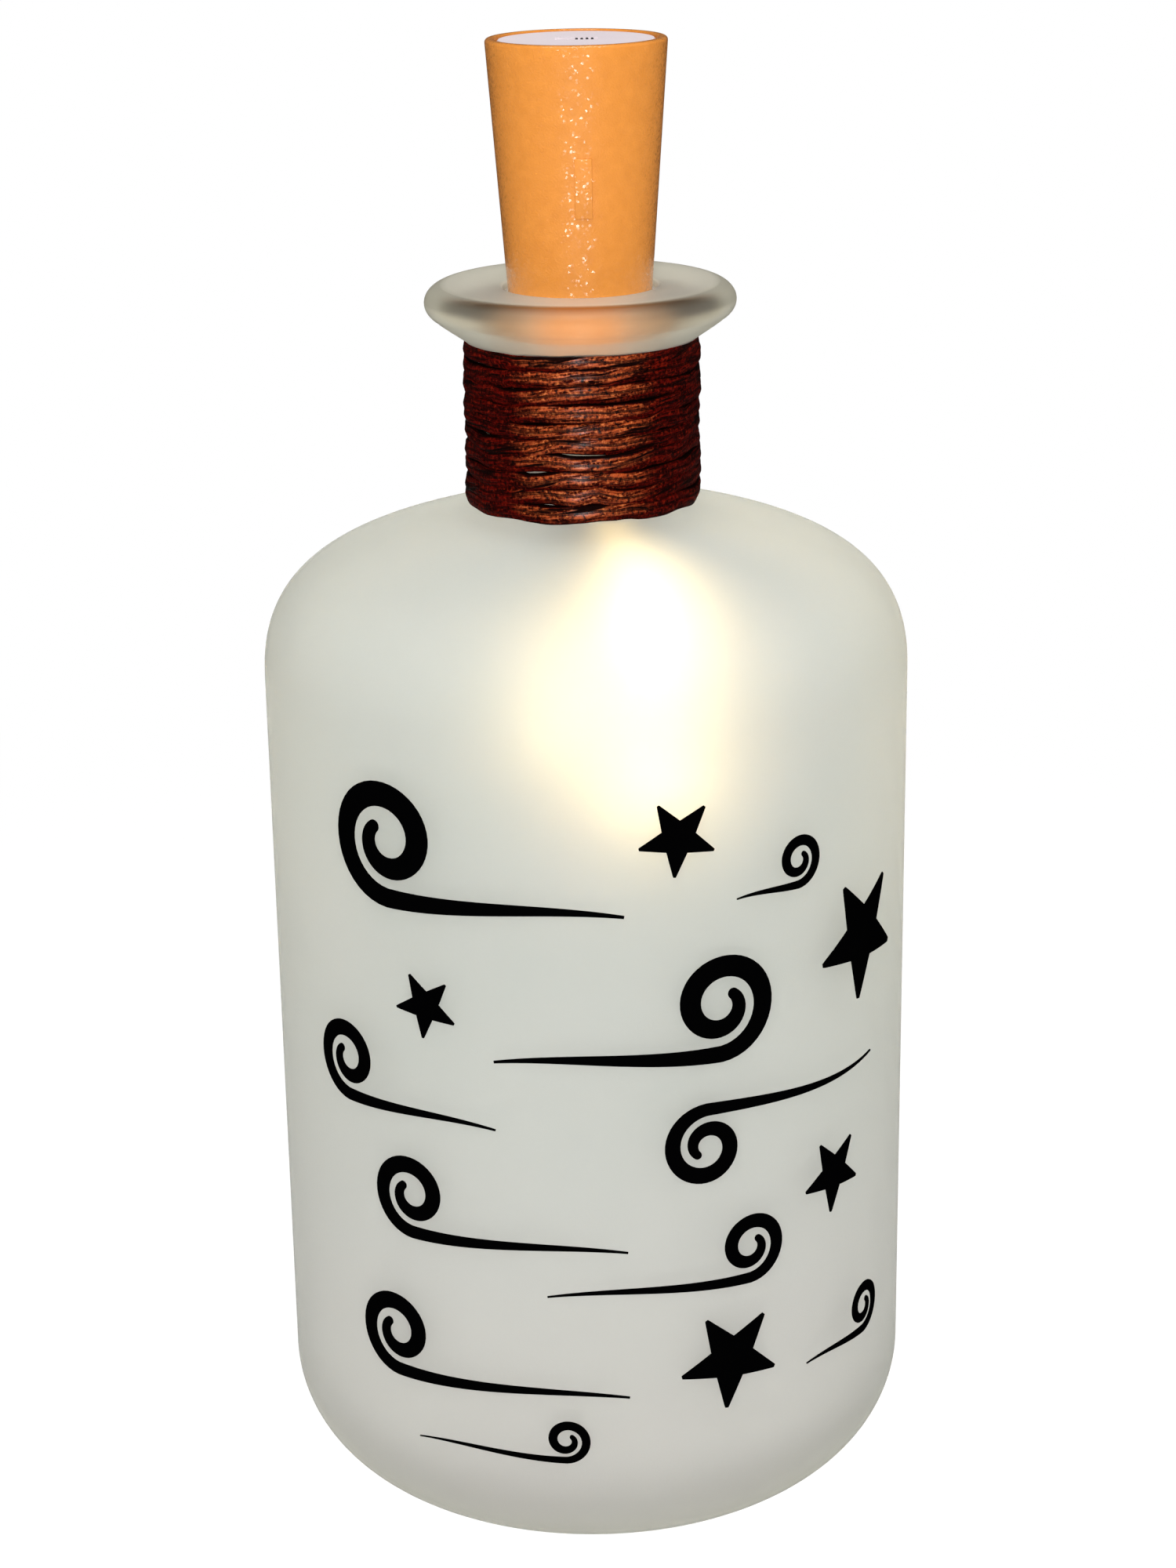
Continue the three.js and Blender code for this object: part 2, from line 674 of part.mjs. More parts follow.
// Places are degrees round from the front and shares of the straight wall's height.
// A star's size from middle to tip, and a swirl's length and curl, are shares of the wall's radius.
const stars = [
  { azimuth: 14.8, share: 0.892, size: 0.122 },
  { azimuth: 55.2, share: 0.694, size: 0.21 },
  { azimuth: -29.3, share: 0.656, size: 0.107 },
  { azimuth: 47.2, share: 0.373, size: 0.132 },
  { azimuth: 24.2, share: 0.154, size: 0.171 },
];
stars.forEach((star, i) => {
  piece(bottle, `vinyl_star_${i + 1}`, bend(starGeometry(star), star), blackVinyl);
});

const swirls = [
  { azimuth: 5.6, share: 0.793, length: 0.732, curl: 0.183, hand: -1, lift: 1 },
  { azimuth: 25.2, share: 0.8, length: 0.22, curl: 0.078, hand: 1, lift: 1 },
  { azimuth: -16.8, share: 0.593, length: 0.683, curl: 0.159, hand: 1, lift: 1 },
  { azimuth: -16.8, share: 0.498, length: 0.537, curl: 0.122, hand: -1, lift: 1 },
  { azimuth: 58.7, share: 0.519, length: 0.683, curl: 0.122, hand: -1, lift: -1 },
  { azimuth: 5.6, share: 0.329, length: 0.683, curl: 0.127, hand: -1, lift: 1 },
  { azimuth: -8.4, share: 0.266, length: 0.634, curl: 0.107, hand: 1, lift: 1 },
  { azimuth: 5.6, share: 0.118, length: 0.756, curl: 0.132, hand: -1, lift: 1 },
  { azimuth: -33.5, share: 0.026, length: 0.488, curl: 0.068, hand: 1, lift: 1 },
  { azimuth: 40.5, share: 0.108, length: 0.293, curl: 0.083, hand: 1, lift: 1 },
];
swirls.forEach((swirl, i) => {
  piece(bottle, `vinyl_swirl_${i + 1}`, bend(swirlGeometry(swirl), swirl), blackVinyl);
});

const stopper = new THREE.Group();
piece(stopper, "stopper_shell", lathe(shellProfile(), ROUND_SEGMENTS), tanPlastic);
piece(stopper, "wire_grommet", lathe(grommetProfile(), SMALL_SEGMENTS), darkRubber);
piece(stopper, "circuit_board", post(cavityRadius - CLEARANCE, boardBottomZ, boardTopZ), boardGreen);
piece(stopper, "driver_chip", block(CHIP_SIZE, [0, BOARD_PITCH, pinBottomZ]), chipBlack);
piece(stopper, "series_resistor", block(RESISTOR_SIZE, [0, -BOARD_PITCH, pinBottomZ]), chipBlack);
[-1, 1].forEach((side, i) => {
  const pin = lathe(pinProfile(), SMALL_SEGMENTS).translate(side * BOARD_PITCH, 0, 0);
  piece(stopper, `contact_pin_${i + 1}`, pin, brass);
});

const channel = solid(tube(stringLine(STRING_END + CLEARANCE), WIRE_RADIUS + CLEARANCE, LOOP_SIDES));
const string = tube(stringLine(STRING_END), WIRE_RADIUS, CURL_SIDES);
piece(stopper, "string_wire", string, silveredWire);
console.log("lamp string, least gap to itself (mm):", leastGap(string, CURL_SIDES, STRING_STEPS).toFixed(3));
for (let led = 0; led < LED_COUNT; led += 1) {
  piece(stopper, `led_bead_${led + 1}`, beadGeometry(led, channel), lampResin);
}

const insert = new THREE.Group();
piece(insert, "battery_insert", insertGeometry(), palePlastic);
for (let cell = 0; cell < CELL_COUNT; cell += 1) {
  const geometry = lathe(cellProfile(cellBottomZ + cell * cellPitch), CELL_SEGMENTS);
  piece(insert, `button_cell_${cell + 1}`, geometry, steel);
}
piece(insert, "cell_spring", tube(springLine(), SPRING_WIRE / 2, CURL_SIDES), steel);
const plateRadius = CELL_RADIUS - CELL_CAP_STEP;
piece(insert, "cell_contact_plate", post(plateRadius, contactPlateZ, contactPlateZ + CONTACT_PLATE), brass);
const stripSize = [STRIP_WIDTH, STRIP_THICKNESS, partitionTopZ - carrierBottomZ];
const stripY = bayRadius + CARRIER_WALL / 2;
piece(insert, "contact_strip", block(stripSize, [0, stripY, carrierBottomZ]), brass);
piece(insert, "switch_body", switchGeometry(), chipBlack);
piece(insert, "switch_knob", knobGeometry(), chipBlack);
stopper.add(insert);

const bottleLight = new THREE.Group();
bottleLight.name = "bottle_light";
bottleLight.add(bottle, stopper);

export default bottleLight;
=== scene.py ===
"""The looks of a bottle light: a frosted bottle with a wound neck, cut vinyl and a string of lamps.

Metres, +Z up, front at -Y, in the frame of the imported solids. Sizes and profiles are written in millimetres.
"""

from math import atan, ceil, cos, dist, hypot, inf, pi, radians, sin, tau

import bmesh
import bpy
from mathutils import Matrix, Vector


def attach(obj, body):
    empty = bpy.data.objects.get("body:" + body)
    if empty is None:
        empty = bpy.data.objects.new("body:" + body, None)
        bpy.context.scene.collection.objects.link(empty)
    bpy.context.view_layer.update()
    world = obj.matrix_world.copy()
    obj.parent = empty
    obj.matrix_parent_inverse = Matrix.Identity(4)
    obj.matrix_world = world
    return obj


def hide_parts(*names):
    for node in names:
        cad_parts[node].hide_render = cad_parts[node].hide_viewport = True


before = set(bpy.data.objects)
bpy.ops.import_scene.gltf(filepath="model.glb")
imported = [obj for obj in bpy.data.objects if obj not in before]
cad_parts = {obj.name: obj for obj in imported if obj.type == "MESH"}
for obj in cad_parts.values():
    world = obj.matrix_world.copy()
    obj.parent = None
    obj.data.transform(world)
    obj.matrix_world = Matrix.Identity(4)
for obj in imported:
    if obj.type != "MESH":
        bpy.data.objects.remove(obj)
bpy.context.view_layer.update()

MM = 0.001
SHARP_DEGREES = 35

# Bottle sizes
BODY_RADIUS = 41.0
BASE_CORNER = 14.8
BASE_THICKNESS = 5.0
PUSH_UP_RADIUS = 20.0
PUSH_UP_HEIGHT = 2.5
GLASS_WALL = 3.0
SHOULDER_Z = 109.6
SHOULDER_LEAD = 16.1
SHOULDER_REACH = 12.5
SHOULDER_DROP = 4.6
NECK_RADIUS = 12.9
NECK_FILLET = 0.9
NECK_BOTTOM_Z = 130.6
NECK_TOP_Z = 149.4
FLARE_LEAD = 1.6
LIP_RADIUS = 19.3
LIP_BOTTOM_Z = 153.7
LIP_TOP_Z = 158.3
LIP_ROUNDING = 2.9
LIP_HALF_HEIGHT = 2.3
LIP_CREST_RADIUS = 17.7
LIP_DISH = 0.4
MOUTH_ROUNDING = 0.8
BORE_RADIUS = 9.3
VINYL_THICKNESS = 0.12
VINYL_GAP = 0.02

# Stopper and insert sizes
STOPPER_FOOT_Z = 141.5
STOPPER_FLOOR_Z = 143.5
STOPPER_LEDGE_Z = 185.4
STOPPER_TOP_Z = 187.7
STOPPER_TAPER = 0.0697
STOPPER_SEAT_RADIUS = 9.0
STRING_HOLE_RADIUS = 1.8
RECESS_RADIUS = 10.0
CAVITY_RADIUS = 7.35
BOARD_SEAT_Z = 147.1
BOARD_BOTTOM_Z = 147.4
BOARD_TOP_Z = 148.4
SOLDER_HEIGHT = 0.3
PIN_X = 3.7
HEAD_RADIUS = 9.7
HEAD_BOTTOM_Z = 185.7
HEAD_TOP_Z = 187.5
CARRIER_RADIUS = 7.05
CARRIER_BOTTOM_Z = 154.6
CARRIER_FLOOR_Z = 155.8
BAY_RADIUS = 6.1
PARTITION_BOTTOM_Z = 180.3
PARTITION_TOP_Z = 181.5
FIRST_CELL_Z = 162.4
CELL_STEP = 5.7
KNOB_X = 1

# Lamp string sizes
WIRE_RADIUS = 0.4
STRING_TOP_Z = BOARD_SEAT_Z
STRING_LEAD_END_Z = 131.0
STRING_RADIUS = 4.8
STRING_SHIFT = 2.4
STRING_PITCH = 3.6
STRING_OPENING_TURNS = 1.2
STRING_TAIL = 0.8
FIRST_LAMP_TURN = 1.25
FIRST_LAMP_AZIMUTH = 10.0
LAMP_STEP_TURNS = 1 + 18 / 360
LAMP_COUNT = 10
LAMP_LENGTH = 4.2
LAMP_WIDTH = 3
CLOSE_LAMPS = 6
LONG_RUNS = 2
LONG_RUN_TURNS = 0.44


def linked(name, data):
    """A new object in the scene."""
    made = bpy.data.objects.new(name, data)
    bpy.context.scene.collection.objects.link(made)
    return made


# Camera, at the photograph's place

CAMERA_SPOT = (0, -0.389565, 0.22494)
CAMERA_TILT = 0.327
CAMERA_ROLL = 0.016


def add_camera():
    data = bpy.data.cameras.new("photograph_camera")
    data.sensor_width = 36
    data.lens = 72.73
    data.clip_start = 0.01
    camera = linked("photograph_camera", data)
    tilt = Matrix.Rotation(pi / 2 - CAMERA_TILT, 4, "X")
    roll = Matrix.Rotation(-CAMERA_ROLL, 4, "Z")
    camera.matrix_world = Matrix.Translation(CAMERA_SPOT) @ tilt @ roll
    bpy.context.scene.camera = camera


add_camera()


# Lines and profiles

def arc(x, y, radius, start, end, steps, rise=None):
    """Points on part of an ellipse, from one angle in degrees to another. Without a rise it is a circle."""
    points = []
    for step in range(steps + 1):
        angle = radians(start + (end - start) * step / steps)
        points.append((x + radius * cos(angle), y + (rise or radius) * sin(angle)))
    return points


def bezier(a, b, c, d, steps):
    """Points on a cubic curve."""
    points = []
    for step in range(steps + 1):
        t = step / steps
        s = 1 - t
        weights = (s * s * s, 3 * s * s * t, 3 * s * t * t, t * t * t)
        points.append(tuple(sum(w * p[k] for w, p in zip(weights, (a, b, c, d))) for k in range(2)))
    return points


def stepped(points, longest):
    """The same line with no step longer than a given length."""
    finer = [points[0]]
    for before, after in zip(points, points[1:]):
        steps = max(1, ceil(dist(before, after) / longest))
        for step in range(1, steps + 1):
            share = step / steps
            finer.append(tuple(p + (q - p) * share for p, q in zip(before, after)))
    return finer


# Mesh makers

def smoothed(mesh):
    """Shades a mesh smooth apart from its sharp edges."""
    mesh.polygons.foreach_set("use_smooth", [True] * len(mesh.polygons))
    mesh.set_sharp_from_angle(angle=radians(SHARP_DEGREES))


def new_piece(name, bm, *materials):
    """A mesh object at the origin from a bmesh."""
    mesh = bpy.data.meshes.new(name)
    bm.to_mesh(mesh)
    bm.free()
    for material in materials:
        mesh.materials.append(material)
    smoothed(mesh)
    return linked(name, mesh)


def place(piece, body, slot, *nodes):
    """The piece stands for these solids and moves with their body. Its slot is not used."""
    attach(piece, body)
    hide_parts(*nodes)


def turned(outline, segments, closed=False, second_slot=inf):
    """A bmesh turned about Z from (radius, height) points, with the bands from second_slot on in slot 1."""
    bm = bmesh.new()
    rings = []
    for radius, height in outline:
        ring = []
        for k in range(segments if radius > 1e-6 else 1):
            angle = tau * k / segments
            spot = (radius * cos(angle) * MM, radius * sin(angle) * MM, height * MM)
            ring.append(bm.verts.new(spot))
        rings.append(ring)
    uppers = rings[1:] + ([rings[0]] if closed else [])
    for band, (low, high) in enumerate(zip(rings, uppers)):
        for k in range(segments):
            other = k + 1
            corners = (low[k % len(low)], low[other % len(low)], high[other % len(high)], high[k % len(high)])
            face = bm.faces.new(list(dict.fromkeys(corners)))
            face.material_index = int(band >= second_slot)
    bmesh.ops.recalc_face_normals(bm, faces=bm.faces)
    return bm


def swept(line, radius, sides):
    """A bmesh tube along points in metres. Its UV map has metres along it and shares of a turn round it."""
    bm = bmesh.new()
    uv_layer = bm.loops.layers.uv.new("UVMap")
    last = len(line) - 1
    tangents = [(line[min(i + 1, last)] - line[max(i - 1, 0)]).normalized() for i in range(len(line))]
    across = tangents[0].orthogonal().normalized()
    rings = []
    lengths = [0.0]
    for i, centre in enumerate(line):
        if i > 0:
            across = tangents[i - 1].rotation_difference(tangents[i]) @ across
            lengths.append(lengths[-1] + (centre - line[i - 1]).length)
        up = tangents[i].cross(across)
        angles = [tau * side / sides for side in range(sides)]
        spots = [centre + radius * (cos(angle) * across + sin(angle) * up) for angle in angles]
        rings.append([bm.verts.new(spot) for spot in spots])
    for i in range(last):
        for side in range(sides):
            other = (side + 1) % sides
            face = bm.faces.new((rings[i][side], rings[i][other], rings[i + 1][other], rings[i + 1][side]))
            corners = ((i, side), (i, side + 1), (i + 1, side + 1), (i + 1, side))
            for loop, (ring, turn) in zip(face.loops, corners):
                loop[uv_layer].uv = (lengths[ring], turn / sides)
    bm.faces.new(list(reversed(rings[0])))
    bm.faces.new(rings[-1])
    return bm


def box(size, bottom_middle, edge=0.0):
    """A bmesh block by its size and the middle of its underside, with rounded edges."""
    bm = bmesh.new()
    bmesh.ops.create_cube(bm, size=1)
    for corner in bm.verts:
        x, y, z = corner.co
        corner.co = Vector((x * size[0] + bottom_middle[0], y * size[1] + bottom_middle[1],
                            (z + 0.5) * size[2] + bottom_middle[2])) * MM
    if edge:
        bmesh.ops.bevel(bm, geom=bm.edges[:], offset=edge * MM, segments=3, profile=0.5, affect="EDGES")
    return bm


def joined(*lists):
    """One bmesh with the faces of several, each list of them with the material slot of its place."""
    whole = bmesh.new()
    for slot, parts in enumerate(lists):
        for part in parts:
            for face in part.faces:
                face.material_index = slot
            mesh = bpy.data.meshes.new("joined_part")
            part.to_mesh(mesh)
            part.free()
            whole.from_mesh(mesh)
            bpy.data.meshes.remove(mesh)
    return whole


def applied(piece):
    """The piece with its modifiers turned into plain mesh."""
    graph = bpy.context.evaluated_depsgraph_get()
    mesh = bpy.data.meshes.new_from_object(piece.evaluated_get(graph), depsgraph=graph)
    piece.modifiers.clear()
    piece.data = mesh
    return piece


def carved(name, body, others, edge, material, operation="DIFFERENCE"):
    """A piece made from a bmesh that others are cut out of or united with, with its edges rounded."""
    piece = new_piece(name, body, material)
    tools = [new_piece(f"{name}_tool", other, material) for other in others]
    for tool in tools:
        change = piece.modifiers.new("change", "BOOLEAN")
        change.operation = operation
        change.object = tool
        change.solver = "EXACT"
    if edge:
        rounding = piece.modifiers.new("rounding", "BEVEL")
        rounding.width = edge * MM
        rounding.segments = 2
        rounding.limit_method = "ANGLE"
        rounding.angle_limit = radians(40)
    applied(piece)
    for tool in tools:
        bpy.data.objects.remove(tool)
    smoothed(piece.data)
    return piece


# Node helpers

def sign_for(operation):
    """What an arithmetic sign does between a value and others."""
    return lambda value, *others: maths(operation, value, *others)


class Value:
    """A node's output. Arithmetic with it adds math nodes to its tree."""

    def __init__(self, socket):
        self.socket = socket
        self.tree = socket.id_data

    __add__ = sign_for("ADD")
    __sub__ = sign_for("SUBTRACT")
    __mul__ = sign_for("MULTIPLY")
    __truediv__ = sign_for("DIVIDE")
    __pow__ = sign_for("POWER")
    __abs__ = sign_for("ABSOLUTE")


class Outputs:
    """A node's outputs as values, by name or by place."""

    def __init__(self, made):
        self.sockets = made.outputs

    def __getitem__(self, key):
        return Value(self.sockets[key])


def feed(target, value):
    """Links a value to an input, or gives the input a plain value."""
    if isinstance(value, Value):
        value.tree.links.new(value.socket, target)
    else:
        target.default_value = value


def give(made, **values):
    """Feeds a node's inputs by their names."""
    for name, value in values.items():
        feed(made.inputs[name.replace("_", " ")], value)


def node(tree, kind, *values, **settings):
    """The outputs of a new node, a shader's unless its kind says otherwise.

    Its inputs are fed in order or by name, and its own settings by name.
    """
    made = tree.nodes.new(kind if "Node" in kind else f"ShaderNode{kind}")
    for name, value in settings.items():
        if hasattr(made, name):
            setattr(made, name, value)
        else:
            give(made, **{name: value})
    for target, value in zip(made.inputs, values):
        feed(target, value)
    return Outputs(made)


def tree_of(values):
    return next(value.tree for value in values if isinstance(value, Value))


def maths(operation, *values):
    return node(tree_of(values), "Math", *values, operation=operation)[0]


def xyz(*parts):
    return node(tree_of(parts), "CombineXYZ", *parts)[0]


def parts_of(spot):
    return node(spot.tree, "SeparateXYZ", spot)


def limited(value, lowest, highest):
    return maths("MINIMUM", maths("MAXIMUM", value, lowest), highest)


def ranged(share, low, high):
    """A share from 0 to 1 as a value from low to high."""
    return node(share.tree, "MapRange", Value=share, To_Min=low, To_Max=high)["Result"]


def between(value, start, end, steps="SMOOTHSTEP"):
    """How far a value is on its way from start to end, as a share."""
    return node(value.tree, "MapRange", Value=value, interpolation_type=steps,
                From_Min=start, From_Max=end)["Result"]


def blended(share, first, second):
    """Two colours mixed by a share. Inputs 6 and 7 and output 2 are the mixing node's colours."""
    made = share.tree.nodes.new("ShaderNodeMix")
    made.data_type = "RGBA"
    for spot, value in ((0, share), (6, first), (7, second)):
        feed(made.inputs[spot], value)
    return Outputs(made)[2]


def noise(spot, scale, detail, **settings):
    return node(spot.tree, "TexNoise", Vector=spot, Scale=scale, Detail=detail, **settings)[0]


def attributes(tree, *names):
    return [node(tree, "Attribute", attribute_name=name)["Fac"] for name in names]


def object_spot(tree):
    return node(tree, "TexCoord")["Object"]


def edge_on_share(tree):
    """0 where a surface faces the eye and 1 where it is seen edge on."""
    return node(tree, "LayerWeight", Blend=0.5)["Facing"]


def bumped(height, distance, strength=1.0):
    """A normal with a bump from a height share, with its depth in metres."""
    return node(height.tree, "Bump", Height=height, Distance=distance, Strength=strength)["Normal"]


def shown(tree, surface):
    """Makes a mixed shader the surface of its material."""
    feed(tree.nodes["Material Output"].inputs["Surface"], surface)


def node_group(tree_kind, name, result_kind, results, **inputs):
    """An empty node group, its inputs as values, named in lists by their kinds, and its output sockets."""
    tree = bpy.data.node_groups.new(name, f"{tree_kind}NodeTree")
    for kind, labels in inputs.items():
        for label in labels:
            tree.interface.new_socket(label, in_out="INPUT", socket_type=f"NodeSocket{kind}")
    for label in results:
        tree.interface.new_socket(label, in_out="OUTPUT", socket_type=f"NodeSocket{result_kind}")
    return tree, node(tree, "NodeGroupInput"), tree.nodes.new("NodeGroupOutput").inputs


def srgb(red, green, blue):
    """A colour as the screen shows it, 0 to 255, as the linear colour that nodes take."""
    linear = []
    for value in (red, green, blue):
        share = value / 255
        linear.append(share / 12.92 if share <= 0.04045 else ((share + 0.055) / 1.055) ** 2.4)
    return (*linear, 1.0)


def grey(share):
    return (share, share, share, 1)


# Shared surface effects

def moulded_grain_group():
    """The fine grain of a moulded surface and its slow changes of tone."""
    tree, given, result = node_group("Shader", "moulded_grain", "Float", ("Grain", "Blotch"),
                                     Float=("Grains Per Metre", "Blotches Per Metre"))
    spot = object_spot(tree)
    feed(result["Grain"], noise(spot, given["Grains Per Metre"], 3.0, Roughness=0.6))
    feed(result["Blotch"], noise(spot, given["Blotches Per Metre"], 4.0))
    return tree


def worked_metal_group():
    """The fine turned streaks of sheet or drawn metal, and its faint tarnish."""
    tree, _, result = node_group("Shader", "worked_metal", "Float", ("Streak", "Tarnish"))
    spot = object_spot(tree)
    x, y, z = parts_of(spot)
    from_axis = maths("SQRT", x ** 2.0 + y ** 2.0)
    feed(result["Streak"], noise(xyz(from_axis, 0.0, z), 9000.0, 2.0))
    feed(result["Tarnish"], noise(spot, 350.0, 5.0))
    return tree


MOULDED_GRAIN = moulded_grain_group()
WORKED_METAL = worked_metal_group()


def moulded_grain(tree, grains, blotches=120.0):
    return node(tree, "Group", node_tree=MOULDED_GRAIN,
                Grains_Per_Metre=grains, Blotches_Per_Metre=blotches)


def worked_metal(tree):
    return node(tree, "Group", node_tree=WORKED_METAL)


# Materials

def new_material(name, fill, *choices):
    """A material whose nodes a function fills in, with choices of its own."""
    material = bpy.data.materials.new(name)
    material.use_nodes = True
    tree = material.node_tree
    fill(tree, tree.nodes["Principled BSDF"], *choices)
    return material


def moulded(tree, shader, dark, light, roughness, grain_depth, grains=5000.0):
    """A moulded plastic or rubber, with grain in its gloss and relief and slow changes of tone."""
    grain = moulded_grain(tree, grains)
    give(shader, Base_Color=blended(grain["Blotch"], srgb(*dark), srgb(*light)),
         Roughness=ranged(grain["Grain"], roughness - 0.08, roughness + 0.08),
         Normal=bumped(grain["Grain"], grain_depth))


def tan_plastic(tree, shader):
    """Smooth moulded plastic whose etched skin glints in fine specks where it faces a lamp."""
    grain = moulded_grain(tree, 4000.0, 700.0)
    spot = object_spot(tree)
    cells = node(tree, "TexVoronoi", Vector=spot, Scale=3600.0)
    offset = node(tree, "VectorMath", spot, cells["Position"], operation="SUBTRACT")[0]
    tilt = node(tree, "VectorMath", cells["Color"], (0.5, 0.5, 0.5), operation="SUBTRACT")[0]
    facet = node(tree, "VectorMath", offset, tilt, operation="DOT_PRODUCT")["Value"]
    give(shader, Base_Color=blended(grain["Blotch"], srgb(208, 127, 42), srgb(226, 144, 56)),
         Roughness=ranged(grain["Grain"], 0.34, 0.46), IOR=1.45, Normal=bumped(grain["Grain"], 0.00008),
         Coat_Weight=0.9, Coat_Roughness=0.16, Coat_IOR=1.4, Coat_Normal=bumped(facet, 0.36))


def metal(tree, shader, dark, light, roughness):
    """A sheet or drawn metal with streaks in its gloss and a faint tarnish."""
    worked = worked_metal(tree)
    give(shader, Base_Color=blended(worked["Tarnish"], srgb(*dark), srgb(*light)), Metallic=1.0,
         Roughness=ranged(worked["Streak"], roughness - 0.1, roughness + 0.12),
         Normal=bumped(worked["Streak"], 0.00001, 0.4))


def frosted_glass(tree, shader):
    """Etched glass: it scatters what is behind it, keeps a soft sheen and lets lamps through.

    Rays that come from inside and leave through the front wall are dimmed, so that the front lamps don't
    shine through to a view from behind.
    """
    grain = moulded_grain(tree, 3500.0, 45.0)
    thick, lip, crest = attributes(tree, "thick_glass", "clear_glass", "lip_crest")
    edge_on = edge_on_share(tree)
    _, depth, height = parts_of(object_spot(tree))
    upper = between(height, 0.01, 0.07)
    hazy = blended(upper, srgb(195, 191, 191), srgb(184, 190, 186))
    wall = blended(grain["Blotch"], hazy, srgb(198, 198, 195))
    # Painted sheen: the wall's colour is painted lighter where it is seen edge on.
    wall = blended(edge_on ** 2.0, wall, srgb(202, 204, 200))
    # Painted light and shade in the lip: warm cream where it faces the eye, standing in for the lit stopper
    # seen through it, and darker grey where it is seen edge on.
    painted_lip_light = blended(edge_on, srgb(255, 248, 218), srgb(196, 196, 188))
    tone = blended(lip, wall, painted_lip_light)
    # Painted shade: greyer and darker where the glass is thick, more so where it is seen edge on.
    tone = blended(thick * ranged(edge_on, 0.15, 1.0), tone, srgb(172, 170, 156))
    # Painted shade and a painted reflection: a dark brownish-orange line along the lip's crest, where the
    # stopper shows through the thick glass.
    tone = blended(crest * between(edge_on, 0.72, 0.45), tone, srgb(136, 88, 22))
    path = node(tree, "LightPath")
    leaving = node(tree, "NewGeometry")["Backfacing"] * path["Is Transmission Ray"]
    dimmed = between(depth, 0.0, -0.03) * upper * leaving
    # Painted sheen: where the lip is seen edge on it turns partly diffuse, so it takes a pale colour that
    # stands in for the reflection of the bright room.
    painted_lip_sheen = lip * between(edge_on, 0.48, 0.68)
    give(shader, Base_Color=blended(dimmed, tone, srgb(84, 84, 80)), IOR=1.35,
         Roughness=ranged(grain["Grain"], 0.8, 0.9) - lip * 0.35, Transmission_Weight=ranged(painted_lip_sheen, 1.0, 0.5),
         Coat_Weight=0.1, Coat_Roughness=0.42, Normal=bumped(grain["Grain"], 0.00002, 0.5))
    shadow = blended(lip, (0.75, 0.76, 0.72, 1), (0.97, 0.97, 0.95, 1))
    clear = node(tree, "BsdfTransparent", Color=shadow)[0]
    shown(tree, node(tree, "MixShader", path["Is Shadow Ray"], Outputs(shader)[0], clear)[0])


def inner_glass(tree, shader):
    """The milky look of the frosting: a thin haze inside the glass that catches light.

    It also has a faint painted glow in the lip, standing in for light piped up from the lamps, but not in the
    lip's sides, which are painted darker as painted shade.
    """
    lip, thick = attributes(tree, "clear_glass", "thick_glass")
    met = node(tree, "NewGeometry")
    normal = parts_of(met["Normal"])
    ray = parts_of(met["Incoming"])
    across = normal[0] * ray[0] + normal[1] * ray[1]
    level = maths("SQRT", maths("SUBTRACT", 1.0, ray[2] * ray[2]))
    # Painted shade: the lip's sides, where the eye sees them edge on, are darker and more opaque.
    shaded_lip_side = lip * between(abs(across) / level, 0.98, 0.78)
    haze = ranged(lip, 0.32, 0.4) * ranged(thick, 1.0, 0.1)
    # Painted glow: warm light given off by the lip's glass, less where it is thick and none on its sides.
    painted_lip_glow = (lip - shaded_lip_side) * ranged(thick, 1.0, 0.0)
    give(shader, Base_Color=blended(shaded_lip_side, (0.8, 0.8, 0.78, 1), (0.34, 0.31, 0.25, 1)),
         Roughness=1.0, Specular_IOR_Level=0.0, Alpha=haze + shaded_lip_side * 0.5,
         Emission_Color=blended(painted_lip_glow, grey(0), (1.0, 0.88, 0.64, 1)), Emission_Strength=2.3)


